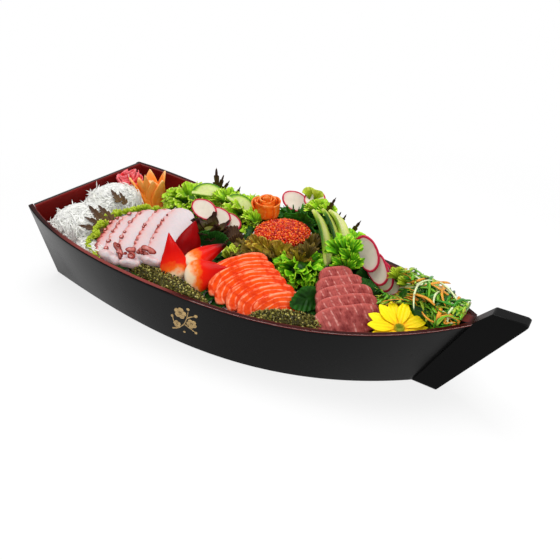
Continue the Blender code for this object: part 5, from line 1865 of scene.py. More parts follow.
@dataclass
class DaikonHeap:
    """Shredded daikon: crossing strands over heaps at the stern, by spot, radii, turn and count."""

    heaps: tuple[tuple[Triple, Triple, float, int], ...] = (
        ((0.108, -0.57, -14.0), (0.034, 0.035, 0.024), -20.0, 330),
        ((0.072, 0.06, -16.0), (0.030, 0.036, 0.022), -8.0, 300),
        ((0.195, -0.80, -20.0), (0.030, 0.016, 0.016), -20.0, 110))
    strand_halves: Pair = (0.009, 0.021)
    strand_radii: Pair = (0.0008, 0.0013)
    loose_ends: int = 34
    end_lengths: Pair = (0.006, 0.012)
    end_radii: Pair = (0.0005, 0.0008)

    def build(self) -> None:
        """Makes the strands over soft cores as one piece."""
        shells = []
        for k, (spot, radii, yaw, count) in enumerate(self.heaps):
            middle, size = LINES.spot(*spot), np.array(radii)
            shells += [ball(middle, 0.96 * size, yaw, 9, 0.03, 0.9).inside(),
                       self.strands(middle, size, yaw, count, 100 + k),
                       self.spikes(middle, size, yaw, 130 + k)]
        make_piece("daikon_shreds", Shell.joined(shells), DAIKON, ("daikon_mound",))

    def strands(self, middle: Array, size: Array, yaw: float, count: int, seed: int) -> Shell:
        """Strands lying on an ellipsoid: each follows it as a tangent circle and its ends stand proud.

        Args:
            middle: the heap's centre.
            size: its radii.
            yaw: its turn, in degrees.
            count: how many strands.
            seed: of the random draw.

        Returns:
            The strands' shell.
        """
        draw = np.random.default_rng(seed)
        points, normals = scattered(draw, middle, size, yaw, count, -0.15)
        side = unit(np.cross(normals, unit(draw.normal(0, 1, (count, 3)))))
        other = np.cross(normals, side)
        s = np.linspace(-1, 1, 9)[None, :, None]
        half = draw.uniform(*self.strand_halves, count)[:, None, None]
        bend = draw.uniform(-0.35, 0.35, count)[:, None, None]
        dip = half**2 / (2 * size.mean()) * draw.uniform(0.5, 1.1, count)[:, None, None]
        paths = (points[:, None] + s * half * side[:, None] + bend * half * s**2 * other[:, None]
                 - dip * s**2 * normals[:, None])
        radii = tapered(draw.uniform(*self.strand_radii, count), 0.25, 0.6, 0.9, count=9)
        return tubes(keep_inside(paths), radii, draw.uniform(0, 1, count), 5)

    def spikes(self, middle: Array, size: Array, yaw: float, seed: int) -> Shell:
        """Straight loose ends that stand off the heap: each leaves it along its normal and a random way."""
        draw, n = np.random.default_rng(seed), self.loose_ends
        roots, normals = scattered(draw, middle, size, yaw, n, 0.15, 0.9)
        aim = unit(0.6 * normals + unit(draw.normal(0, 1, (n, 3))) * np.array((1, 1, 0.5)))
        s = np.linspace(-0.5, 1, 5)[None, :, None]
        paths = roots[:, None] + s * draw.uniform(*self.end_lengths, n)[:, None, None] * aim[:, None]
        radii = draw.uniform(*self.end_radii, n)[:, None] * np.array((1, 1, 1, 0.9, 0.5))
        return tubes(keep_inside(paths), radii, draw.uniform(0.4, 1, n), 5)


@dataclass(frozen=True)
class Tangle:
    """Short curled strands scattered in a flat ellipsoid, in millimetres; tones to choose from, or any."""

    centre: Triple
    radii: Triple
    yaw: float
    lowest: float
    lengths: Pair
    curl: float
    widths: Pair
    count: int
    seed: int
    tones: tuple[float, ...] = ()

    def shell(self) -> Shell:
        """The strands."""
        draw, n = np.random.default_rng(self.seed), self.count
        centre, radii = MM * np.array(self.centre), MM * np.array(self.radii)
        points, _ = scattered(draw, centre, radii, self.yaw, n, self.lowest)
        paths = strand_paths(draw, points, self.lengths, self.curl, (-0.001, 0.004), 8)
        radii = tapered(draw.uniform(*self.widths, n), 0.3, 0.7, count=8)
        tone = draw.choice(self.tones, n) if self.tones else draw.uniform(0.07, 1, n)
        return tubes(keep_inside(tucked(paths, RADISH_BACKS)), radii, tone, 5, 2.2)


@dataclass
class SeaweedSalad:
    """Green, orange and pale strands heaped in the bow, with fine shreds behind and over the stem's foot."""

    place: Triple = (0.904, 0.240, -8.0)
    radii: Triple = (0.052, 0.025, 0.024)
    yaw: float = -30.0
    count: int = 620
    sunk: float = 0.007
    lengths: Pair = (0.016, 0.044)
    curl: float = 1.4
    lift: Pair = (-0.002, 0.007)
    strand_radii: Pair = (0.0003, 0.0009)
    arch_radius: float = 0.00085
    daisy_clear: Pair = (0.027, 0.028)
    tangles: tuple[Tangle, ...] = (
        Tangle((147.0, 30.0, 70.0), (19.0, 10.0, 10.0), -30.0, -0.1, (0.008, 0.020), 2.2, (0.0004, 0.0010),
               150, 79, (0.45, 0.56, 0.60)),
        Tangle((216.0, 5.5, 88.5), (15.0, 10.0, 5.0), 0.0, -0.3, (0.008, 0.022), 1.6, (0.0003, 0.0008),
               170, 83))
    pale: tuple[tuple[Triple, Triple, Triple, float], ...] = (
        ((180.1, -14.0, 85.7), (173.0, 8.0, 97.5), (183.0, 22.0, 99.0), 0.95),
        ((184.0, 22.0, 99.0), (199.0, 15.0, 100.0), (217.5, 3.0, 90.5), 0.93),
        ((194.4, -7.4, 94.0), (191.5, 4.2, 98.0), (196.0, 14.0, 97.0), 0.93),
        ((186.6, -13.5, 88.0), (194.5, -18.6, 86.0), (202.0, -17.0, 84.0), 0.9),
        ((207.0, -12.0, 87.0), (209.1, -3.0, 93.8), (210.0, 9.0, 92.5), 0.97))

    def build(self) -> None:
        """Makes the heap, its core, the tangles and the long pale strands that arch over it."""
        middle, size = LINES.spot(*self.place), np.array(self.radii)
        core = ball(middle, 0.58 * size, self.yaw, 9, 0.06, 0.12).inside()
        first, last = (tangle.shell() for tangle in self.tangles)
        shells = [core, self.heap(middle, size), self.arches(), first, last]
        make_piece("seaweed_salad_strands", Shell.joined(shells), SEAWEED, ("seaweed_salad",))

    def heap(self, middle: Array, size: Array) -> Shell:
        """Strands over an ellipsoid, pushed out from the daisy's middle where they would lie on it."""
        draw, n = np.random.default_rng(77), self.count
        points, normals = scattered(draw, middle, size, self.yaw, n, -0.35)
        points -= normals * draw.uniform(0.0, self.sunk, (n, 1))
        paths = strand_paths(draw, points, self.lengths, self.curl, self.lift, 10)
        away = paths - LINES.spot(*Daisy.place) - np.array(Daisy.sunk)
        level = lean(*Daisy.leaning)[1]
        above = away @ level
        offset = away - above[..., None] * level
        reach = np.linalg.norm(offset, axis=-1)
        near, clear = self.daisy_clear
        short = np.where((above > -0.003) & (reach < near), clear - reach, 0).max(axis=1)
        outward = unit(offset[:, 5])
        paths = tucked(paths + short[:, None, None] * outward[:, None], RADISH_BACKS)
        kept = (short == 0) | (outward @ SCREEN > 0)
        tone = 0.07 + 0.93 * draw.uniform(0, 1, n) ** 1.1
        radii = tapered(draw.uniform(*self.strand_radii, n), 0.3, 0.7, count=10)
        return tubes(keep_inside(paths[kept]), radii[kept], tone[kept], 6, 2.4)

    def arches(self) -> Shell:
        """Long pale strands: a quadratic Bezier from end to end through a middle point, in millimetres."""
        a, through, c = (MM * np.array([row[i] for row in self.pale])[:, None] for i in range(3))
        b = 2 * through - (a + c) / 2
        t = np.linspace(0, 1, 18)[None, :, None]
        paths = (1 - t) ** 2 * a + 2 * t * (1 - t) * b + t**2 * c
        radii = self.arch_radius * np.sin(math.pi * np.linspace(0.06, 0.94, 18))[None] ** 0.4
        tone = np.array([row[3] for row in self.pale])
        return tubes(paths, radii * np.ones((len(tone), 1)), tone, 6, 1.3)


@dataclass
class SeaGrapes:
    """Olive seaweed in frizzy beds along the near rim: beads and short curled tufts over a core."""

    beds: tuple[tuple[str, Triple, Triple, float], ...] = (
        ("sea_grapes_1", (0.432, -0.830, -8.0), (0.058, 0.0115, 0.012), -5.0),
        ("sea_grapes_2", (0.700, -0.790, -9.0), (0.036, 0.0105, 0.012), 24.0))
    berries: int = 760
    berry_radii: Pair = (0.0006, 0.0013)
    berry_off: Pair = (-0.0008, 0.0012)
    tufts: int = 260
    tuft_lengths: Pair = (0.002, 0.0042)
    tuft_radius: float = 0.0004

    def build(self) -> None:
        """Makes each bed over its core."""
        n, m = self.berries, self.tufts
        for k, (name, spot, radii, yaw) in enumerate(self.beds):
            draw = np.random.default_rng(200 + k)
            middle, size = LINES.spot(*spot), np.array(radii)
            points, normals = scattered(draw, middle, size, yaw, n, -0.1)
            points += normals * draw.uniform(*self.berry_off, (n, 1))
            sizes = draw.uniform(*self.berry_radii, n)
            berries = beads(keep_inside(points), sizes, draw.uniform(0, 1, n) ** 1.6)
            roots, out = scattered(draw, middle, 0.97 * size, yaw, m, 0)
            aim = unit(out + 0.9 * unit(draw.normal(0, 1, (m, 3))))
            side = unit(np.cross(aim, unit(draw.normal(0, 1, (m, 3)))))
            s = np.linspace(0, 1, 5)[None, :, None]
            length = draw.uniform(*self.tuft_lengths, m)[:, None, None]
            paths = roots[:, None] + length * (s * aim[:, None] + 0.5 * s**2 * side[:, None])
            tufts = tubes(keep_inside(paths), np.full((m, 5), self.tuft_radius), draw.uniform(0.1, 1, m), 4)
            core = ball(middle, 0.94 * size, yaw, 9, 0.05, 0.22).inside()
            bed = Shell.joined([core, berries, tufts])
            make_piece(f"{name}_fringe", bed, SEA_GRAPES, (name,))


# Leaves.

@dataclass(frozen=True)
class LeafForm:
    """How a fan-shaped leaf is cut and waved; depths are shares of its length.

    spread is half its fan in radians. fold and frill are the depths of its broad and fine
    waves, folds and frills how many pi of them run across it, lobe and lobes the depth and
    number of the bays in its margin, and curl how far the margin turns back.
    """

    spread: float
    fold: float
    folds: float
    frill: float
    frills: float
    lobe: float
    lobes: float
    curl: float
    rows: int = 110
    columns: int = 13


LEAF_FORMS = {
    LeafKind.FRILLED: LeafForm(1.15, 0.15, 3.2, 0.085, 12.0, 0.10, 4.0, 0.22),
    LeafKind.OAK: LeafForm(0.75, 0.05, 2.2, 0.030, 7.0, 0.55, 7.0, 0.14, 25, 60),
    LeafKind.FOLDED: LeafForm(0.95, 0.10, 1.2, 0.018, 16.0, 0.05, 15.0, 0.12),
    LeafKind.SPIKED: LeafForm(0.40, 0.06, 2.0, 0.010, 5.0, 0.50, 4.0, 0.02, 9, 60),
    LeafKind.LITTER: LeafForm(0.95, 0.10, 1.2, 0.018, 6.0, 0.05, 6.0, 0.12, 36, 7),
}


def leaves(
    kind: LeafKind, bases: Array, tips: Array, faces: Array, seed: int, shade: float = 0.0, wide: float = 1.0,
) -> Shell:
    """Fan-shaped leaves from their bases to their tips.

    A point lies at share t of the leaf's reach and share s across it, at angle spread times s.
    The reach is cut by bays. The point is lifted off the leaf's plane by broad waves that grow
    as t to 1.5 and by frills that grow as t to 5, which also swing it sideways and in and out,
    so that the margin loops over itself; and the margin turns back as t cubed.

    Args:
        kind: how the margin is cut.
        bases: (n, 3).
        tips: (n, 3).
        faces: (n, 3), the way each upper face looks.
        seed: of the random draw.
        shade: taken off the edge value, for darker leaves.
        wide: multiple of the fan's spread.

    Returns:
        The shell of open sheets.
    """
    form, draw, n = LEAF_FORMS[kind], np.random.default_rng(seed), len(bases)
    along = unit(tips - bases)
    across = unit(np.cross(faces, along))
    normal = np.cross(along, across)
    along, across, normal = (axis[:, None, None] for axis in (along, across, normal))
    length = np.linalg.norm(tips - bases, axis=1)[:, None, None]
    s = np.linspace(-1, 1, form.rows)[None, :, None]
    t = 1 - (1 - np.linspace(0.04, 1, form.columns)[None, None, :]) ** 1.25
    phase = draw.uniform(0, TURN, (5, n, 1, 1))
    vary = draw.uniform(0.85, 1.15, (4, n, 1, 1))
    fine = form.frills * vary[0] * math.pi * s + phase[0]
    broad = form.folds * vary[1] * math.pi * s + phase[1]
    frill = form.frill * length * t**5
    if kind is LeafKind.SPIKED:
        barbs = 1 - form.lobe * (1 - (form.lobes * vary[2] * t) % 1)
        half = 0.22 * wide * length * np.minimum(t / 0.08, 1) * (1 - t) ** 0.8 * barbs
        reach = length * (t + 0.03 * np.abs(s))
        swing = half * s + 0.05 * length * np.sin(2 * t + phase[0])
        lift = form.fold * length * np.sin(math.pi * t) + 0.12 * half * s**2
    elif kind is LeafKind.OAK:
        bays = np.abs(np.cos(form.lobes * vary[2] * math.pi / 2 * (1 - t) ** 0.9)) ** 0.8
        blade = 0.36 * wide * length * np.sin(math.pi * (0.06 + 0.86 * t) ** 0.85)
        half = blade * (1 - form.lobe * (1 - bays))
        reach = length * (t - 0.10 * s**2 * np.sin(math.pi * t) + 0.02 * np.sin(fine))
        swing = half * s
        lift = (form.fold * length * np.sin(form.folds * math.pi * t + phase[1]) * (0.3 + s**2)
                + 0.10 * length * s**2 * t - form.curl * vary[3] * length * t**3)
    else:
        bays = np.abs(np.cos(form.lobes * vary[2] * math.pi / 2 * s + phase[2])) ** 0.7
        reach = (length * t * (1 - 0.16 * s**2 - form.lobe * t**2 * (1 - bays))
                 + 0.5 * frill * np.cos(1.3 * fine + phase[3]))
        angle = wide * form.spread * s * (0.55 + 0.45 * t)
        lift = (form.fold * length * t**1.5 * np.sin(broad) + frill * np.sin(fine)
                + 0.4 * frill * t**3 * np.sin(2.2 * fine + phase[4]) - form.curl * vary[3] * length * t**3)
        swing = reach * np.sin(angle) + 0.7 * frill * np.cos(fine)
        reach = reach * np.cos(angle)
    points = (bases[:, None, None] + reach[..., None] * along
              + swing[..., None] * across + lift[..., None] * normal)
    # Edge value runs from base to margin; the green finishes are dark at the base, partly as painted shade
    # inside a clump.
    edge = np.clip(t**1.3 * (0.92 + 0.12 * np.sin(fine)) - shade, 0, 1) + 0 * s
    rib = np.exp(-((s / (0.05 + 0.03 * t)) ** 2)) * (1 - t) * 0.5
    grain = np.stack((swing / MM, reach / MM, lift / MM), -1)
    return sheet(keep_inside(points), grain, np.clip(edge + rib, 0, 1), draw.uniform(0, 1, n))


@dataclass
class LeafClump:
    """A head of leaves: fans from a low heart to the surface of the clump, over a core painted dark as shade.
    """

    node: str
    finish: Finish
    kind: LeafKind
    spot: Triple
    radii: Triple
    yaw: float
    count: int
    seed: int
    backs: tuple[tuple[Triple, float], ...] = ()
    low: float = -0.05
    reach: float = 1.06

    def build(self) -> None:
        """Makes the leaves at golden angles and the core they grow from."""
        draw = np.random.default_rng(self.seed)
        middle, size, level = LINES.spot(*self.spot), MM * np.array(self.radii), np.array((1, 1, 0))
        i = np.arange(self.count)
        azimuth = golden(i) + draw.uniform(-0.3, 0.3, self.count)
        height = np.clip(self.low + (0.93 - self.low) * (i + 0.5) / self.count, -1, 0.95)
        tips, normals = on_ellipsoid(middle, size * self.reach, self.yaw, azimuth, height)
        heart = middle - np.array((0, 0, 0.35 * size[2])) + 0.25 * (tips - middle) * level
        faces = unit(UP - 0.55 * unit(normals * level))
        shell = leaves(self.kind, heart, tips, faces, self.seed + 500)
        shell.points = tucked(shell.points, self.backs)
        make_piece(f"{self.node}_leaves", shell, self.finish, (self.node,), LEAF_THICKNESS)
        core = ball(middle - 0.14 * size[2] * UP, 0.44 * size, self.yaw, 7, 0.12).inside()
        # Painted shade: edge 0 gives the core the colour of the leaves' bases, dark in the green finishes,
        # for the shade inside the head.
        core.edge *= 0.0
        make_piece(f"{self.node}_heart", core, self.finish)


@dataclass
class LooseLeaves:
    """Single leaves tucked in between the other pieces.

    A row is a base and a tip in millimetres, and the way the leaf faces where that isn't the
    way they all face.
    """

    name: str
    finish: Finish
    kind: LeafKind
    seed: int
    rows: tuple[tuple[float, ...], ...]
    face: Triple = (0.47, -0.69, 0.55)
    shade: float = 0.0
    wide: float = 1.0
    slot: str = "lettuce"

    def build(self) -> None:
        """Makes the leaves as one piece."""
        rows = np.array([(*row, *self.face)[:9] for row in self.rows], dtype=float).reshape(-1, 3, 3)
        shell = leaves(self.kind, MM * rows[:, 0], MM * rows[:, 1], unit(rows[:, 2]), self.seed, self.shade,
                       self.wide)
        make_piece(self.name, shell, self.finish, thickness=LEAF_THICKNESS)


@dataclass
class FrillBand:
    """Curly yellow-green lettuce that shows round the stern side of the octopus."""

    path: tuple[Triple, ...] = (
        (-149, -93, 75), (-164, -90, 81), (-169.6, -83, 84), (-173.7, -75.6, 86.5), (-177, -67.5, 88.5),
        (-180, -59, 90.5), (-183, -51, 92), (-184, -42, 93), (-187, -31, 93), (-187, -18, 91), (-184, -6, 88),
        (-175, 3, 87), (-162, 9, 88), (-150, 16, 88))
    count: int = 30
    depth: float = 0.009
    setback: float = 0.004
    scatter: float = 0.0024
    wide: float = 0.8

    def build(self) -> None:
        """Makes a row of leaves: each stands under the path, leans to the stern and ends on the path."""
        knots = MM * np.array(self.path)
        u = np.linspace(0, len(knots) - 1, self.count)
        tips = np.stack([np.interp(u, np.arange(len(knots)), knots[:, k]) for k in range(3)], -1)
        side = unit(np.cross(np.gradient(tips, axis=0), UP))
        side *= np.where(side[:, :1] > 0, -1, 1)
        tips = tips + np.random.default_rng(951).normal(0, self.scatter, tips.shape)
        bases = tips - self.depth * UP - self.setback * side
        shell = leaves(LeafKind.FRILLED, bases, tips, unit(UP - 0.5 * side), 950, wide=self.wide)
        make_piece("curly_lettuce_band", shell, LIME_LETTUCE, ("frill_stern",), LEAF_THICKNESS)


@dataclass
class ShisoLeaf:
    """A toothed green leaf between the salmon and the tuna."""

    place: Triple = (0.705, -0.390, 0.0)
    length: float = 0.042
    width: float = 0.024
    thickness: float = 0.0012
    teeth: int = 26
    points: int = 192

    def build(self) -> None:
        """Makes the leaf: an oval whose margin is cut by saw teeth, folded along its rib."""
        along, facing, _ = lean(70, 50)
        shape = oval(self.length, self.width, 1.6, self.points)
        turn = np.arange(self.points) / self.points * self.teeth
        shape *= (1 + 0.07 * (turn % 1 - 0.5))[:, None]
        shell = slab(shape, self.thickness, LINES.spot(*self.place), along, facing, self.fold, self.ribs)
        make_piece("shiso_toothed_leaf", shell, DARK_LEAF, ("shiso_leaf",))

    @staticmethod
    def fold(u: Array, v: Array) -> Array:
        """Lift of the leaf: two halves rise from the rib, with veins across them."""
        return 0.10 * np.abs(v) + 0.0006 * np.sin((u + np.abs(v)) * 900)

    @staticmethod
    def ribs(u: Array, v: Array, share: Array) -> Array:
        """Edge value of the leaf: 0 on the rib and 1 at the margin."""
        return np.clip(share * 0.8 + 0.2 * smooth(0, 0.002, np.abs(v)), 0, 1)


@dataclass
class RadishBed:
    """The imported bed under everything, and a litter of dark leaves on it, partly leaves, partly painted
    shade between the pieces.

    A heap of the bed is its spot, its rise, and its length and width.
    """

    fore: float = 0.448
    low: float = 0.0245
    level: float = 0.055
    pits: float = 0.0007
    heaps: tuple[tuple[Triple, float, float, float], ...] = (
        ((0.52, 0.40, 0.0), 0.026, 0.085, 0.038), ((0.31, -0.30, 0.0), 0.019, 0.070, 0.050))
    bowl_depth: float = 0.0255
    bowl_wall: float = 0.024
    bowl_foot: float = 0.021
    bowl_flare: float = 0.013
    bowl_edge: float = 0.0345
    bowl_reach: float = 0.038
    litter: int = 110
    litter_stations: Pair = (0.24, 0.90)
    litter_share: float = 0.88
    litter_reach: Pair = (0.016, 0.026)
    litter_lift: float = 0.006
    bare_spot: Triple = (0.640, 0.070, 5.0)
    bare_radius: float = 0.030

    def build(self) -> None:
        """Makes the bed and the leaves that cover it but for the stern and the heart of a lettuce."""
        make_piece("daikon_bed_shreds", self.bed(), DAIKON, ("daikon_bed",))
        draw, n = np.random.default_rng(900), self.litter
        station = draw.uniform(*self.litter_stations, n)
        share = draw.uniform(-self.litter_share, self.litter_share, n)
        x = LINES.stern_x + LINES.rim_length * station
        y = share * LINES.bezier(LINES.rim_halves, station)
        roots = np.stack((x, y, self.top(x, y) + 0.001), -1)
        heading, reach = draw.uniform(0, TURN, n), draw.uniform(*self.litter_reach, n)
        tips = roots + np.stack((
            np.cos(heading) * reach, np.sin(heading) * reach, self.litter_lift + 0 * reach), -1)
        kept = np.linalg.norm((roots - LINES.spot(*self.bare_spot))[:, :2], axis=1) > self.bare_radius
        faces = np.tile(UP, (kept.sum(), 1))
        # Painted shade: the litter, darkened by a further 0.15, stands in for the shade over the bed in the
        # gaps between pieces.
        shell = leaves(LeafKind.LITTER, roots[kept], tips[kept], faces, 901, 0.15)
        make_piece("shade_leaf_litter", shell, DARK_LEAF, thickness=LEAF_THICKNESS)

    def top(self, x: Array, y: Array) -> Array:
        """Height of the bed: level, plus a bell-shaped heap under the roe and one under the octopus."""
        height = self.level + 0 * x
        for spot, rise, length, width in self.heaps:
            middle = LINES.spot(*spot)
            height = height + rise * np.exp(-((x - middle[0]) / length) ** 2 - ((y - middle[1]) / width) ** 2)
        return height

    def bed(self) -> Shell:
        """A closed section across the hull, carried along it; its top is pitted and hollow under the dish."""
        x = np.linspace(LINES.stern_x + LOAD_AFT, LINES.stern_x + self.fore, 160)[:, None]
        across = np.linspace(-1, 1, 61)[None, :]
        y = across * self.half_breadth(x, self.level)
        heap = (self.top(x, y) - self.level) * (1 - across**6)
        pitted = self.pits * np.sin(900 * x + 700 * y) * np.sin(800 * y - 500 * x)
        z = self.level + heap + pitted - self.pits
        dish = LINES.spot(*DISH_SPOT)
        away = np.hypot(x - dish[0], y - dish[1])
        wall = self.bowl_wall * np.clip((away - self.bowl_foot) / self.bowl_flare, 0, 1)
        bowl = dish[2] - self.bowl_depth + wall + 0.2 * np.maximum(away - self.bowl_edge, 0)
        z = np.where(away < self.bowl_reach, np.minimum(z, bowl), z)
        foot_y = self.half_breadth(x, self.low) * np.linspace(1, -1, 5)[None, :]
        top = np.stack((x + 0 * y, y, z), -1)
        foot = np.stack((x + 0 * foot_y, foot_y, self.low + 0 * foot_y), -1)
        rings = np.concatenate((top, foot), 1)
        return capped(rings, 0 * rings[..., 0], 0.4)

    @staticmethod
    def half_breadth(x: Array, height: float) -> Array:
        """Half-breadth of the bed at a height."""
        return np.maximum(LINES.inner_half(x, height + 0 * x) - HULL_CLEAR, LEAST_HALF)


def greens() -> list[LeafClump | LooseLeaves]:
    """The heads of lettuce and the loose leaves, in the order they are built."""
    frilled, oak, folded, spiked = LeafKind.FRILLED, LeafKind.OAK, LeafKind.FOLDED, LeafKind.SPIKED
    red, level = "red_lettuce", (0, -0.3, 1)
    return [
        LeafClump("lettuce_back", DEEP_LETTUCE, frilled, (0.560, 0.800, 14.0), (40, 17, 24), -8.0, 12, 300),
        LeafClump("lettuce_mid", SUNNY_LETTUCE, frilled, (0.425, 0.610, 11.0), (40, 24, 24), -8.0, 16, 301,
                  RADISH_BACKS[:2]),
        LeafClump("lettuce_stern", SUNNY_LETTUCE, frilled, (0.243, 0.570, -1.0), (37, 27, 24), 0.0, 16, 302),
        LeafClump("lettuce_front", LETTUCE, frilled, (0.640, 0.070, 5.0), (24, 25, 21), 40.0, 13, 303),
        LeafClump("lettuce_bow", LETTUCE, frilled, (0.690, 0.700, 9.0), (24, 20, 22), -38.0, 12, 304),
        LeafClump("red_lettuce_left", RED_LETTUCE, oak, (0.395, 0.070, 8.0), (24, 22, 22), 40.0, 13, 305),
        LeafClump("red_lettuce_front", OLIVE_LETTUCE, frilled, (0.545, 0.050, 10.0), (36, 16, 17), 34.0, 14,
                  306),
        LooseLeaves("oak_leaves_on_daikon", PURPLE_LETTUCE, spiked, 41, (
            (-180, -52, 84, -206, -50, 102), (-178, -46, 85, -202, -41, 99), (-174, -60, 82, -192, -79, 92),
            (-176, -56, 82, -196, -66, 96), (-203, -10, 89, -222, -4, 101), (-198, -4, 86, -213, -1, 98),
        ), (0.4, -0.5, 0.8), wide=1.3, slot=red),
        LooseLeaves("dark_leaves_behind_roe", DEEP_LETTUCE, spiked, 42, (
            (-17, 84, 71, -23, 84.5, 96), (-10, 84, 73, -12, 84.5, 100), (-3, 84, 74, -1, 84.5, 100),
            (4, 84, 75, 8.5, 84.5, 98), (10, 84, 74, 14, 84.5, 92), (30, 80, 72, 26, 80, 88),
        )),
        LooseLeaves("lettuce_by_strips", SUNNY_LETTUCE, frilled, 51, (
            (20, 84, 98, 14, 86, 112), (27, 84, 98, 24, 86, 116), (35, 84, 97, 34, 86, 113),
            (40, 82, 94, 42, 86, 106),
        )),
        LooseLeaves("lettuce_by_cascade", LETTUCE, frilled, 53, (
            (89, 28, 87, 83, 25, 112), (92, 28, 89, 90, 25, 112, 0.0, -0.5, 0.87),
            (94, 27, 87, 97, 24, 106, 0.8, -0.2, 0.5), (96, 26, 83, 102, 24, 98, 0.2, -0.95, 0.2),
            (95, 24, 77, 96, 21, 92, 0.0, -0.5, 0.87), (89, 24, 79, 85, 21, 94, 0.8, -0.2, 0.5),
        ), wide=0.85),
        LooseLeaves("lettuce_by_cucumber", SUNNY_LETTUCE, frilled, 52, (
            (-100, 64, 86, -107, 69, 104), (-92, 64, 86, -94, 69, 107), (-82, 63, 84, -79, 68, 103),
            (-72, 62, 80, -68, 67, 93), (-32, 39, 88, -32.5, 42, 104), (-37, 40, 89, -39, 43, 105),
        )),
        LooseLeaves("round_leaf_by_clams", DARK_LEAF, folded, 43, (
            (-72, -2, 58, -68, -8, 88), (-66, 2, 58, -56, -4, 86),
        )),
        LooseLeaves("purple_leaf_by_radish", PURPLE_LETTUCE, folded, 44, (
            (-38, 16, 60, -64, 14, 82), (-40, 16, 58, -42, 10, 82),
        ), slot=red),
        LooseLeaves("lime_leaf_by_salmon", LIME_LETTUCE, frilled, 45, (
            (-27, -14, 62, -27, -16, 81), (-23, -14, 62, -20, -16, 86), (-19, -14, 64, -14, -16, 85),
        ), wide=0.5),
        LooseLeaves("ochre_leaves_before_roe", OCHRE_LETTUCE, frilled, 54, (
            (1, 1, 66, -3.6, 3, 95), (9, 1, 68, 5.6, 3, 101), (17, 1, 71, 15.8, 3, 101),
            (25, 1, 74, 25.8, 3, 99), (36, 7, 72, 37, 9, 92), (44, 9, 74, 47, 10, 94),
        ), slot=red),
        LooseLeaves("olive_leaves_beside_roe", OLIVE_LETTUCE, frilled, 56, (
            (46, 12, 80, 45, 12, 96), (53, 15, 82, 53, 14, 99), (50, 28, 80, 45.5, 36, 101),
        ), wide=0.8, slot=red),
        LooseLeaves("oak_tips_over_far_rim", RED_LETTUCE, spiked, 46, (
            (-121, 78, 88, -121, 82, 122), (-118, 78, 88, -111, 82, 115), (-115, 78, 88, -104, 82, 110),
            (-95, 78, 88, -87, 82, 106), (33, 86, 100, 43, 90, 120), (45, 86, 90, 50, 90, 105),
            (49, 86, 90, 56, 90, 104), (64, 84, 84, 75, 90, 101),
        ), wide=1.2, slot=red),
        LooseLeaves("pale_leaf_over_far_rim", LIME_LETTUCE, folded, 47, (
            (7, 92, 108, 4, 94, 123), (13, 92, 108, 18, 94, 122),
        ), shade=-0.20, wide=0.7),
        LooseLeaves("leaves_by_tuna", DARK_LEAF, folded, 48, (
            (122, 8, 62, 114, 12, 82), (127, 6, 60, 124, 12, 80),
        )),
        # Dark leaves in the gaps: partly leaves seen there, partly painted shade for the shaded gaps between
        # pieces.
        LooseLeaves("shade_leaves_in_gaps", DARK_LEAF, folded, 55, (
            (-58, -2, 57, -42, -8, 63), (-48, 2, 56, -34, -6, 59), (-38, -62, 56, -20, -74, 61),
            (92, 54, 62, 105, 44, 69), (56, 66, 60, 70, 56, 66), (76, 66, 62, 90, 56, 69),
            (-38, 22, 62, -22, 12, 69), (-132, -64, 56, -116, -76, 60),
            (-20, -64, 57, -4, -74, 61, 0.2, -0.5, 0.85), (-8, -66, 57, 10, -75, 61, 0.2, -0.5, 0.85),
            (112, 40, 64, 106, 31, 78, 0.3, -0.6, 0.75), (120, 18, 58, 137, 8, 62),
            (128, 4, 58, 144, 2, 62), (82, 56, 61, 96, 48, 66), (-50, -12, 65, -36, -18, 68),
            (46, 0, 60, 62, -8, 64),
        ), level, wide=1.3),
        LooseLeaves("pale_frills_in_bow", LIME_LETTUCE, frilled, 49, (
            (146, 35, 78, 141, 38, 91), (160, 29, 78, 155, 32, 92),
        )),
    ]


# The studio.

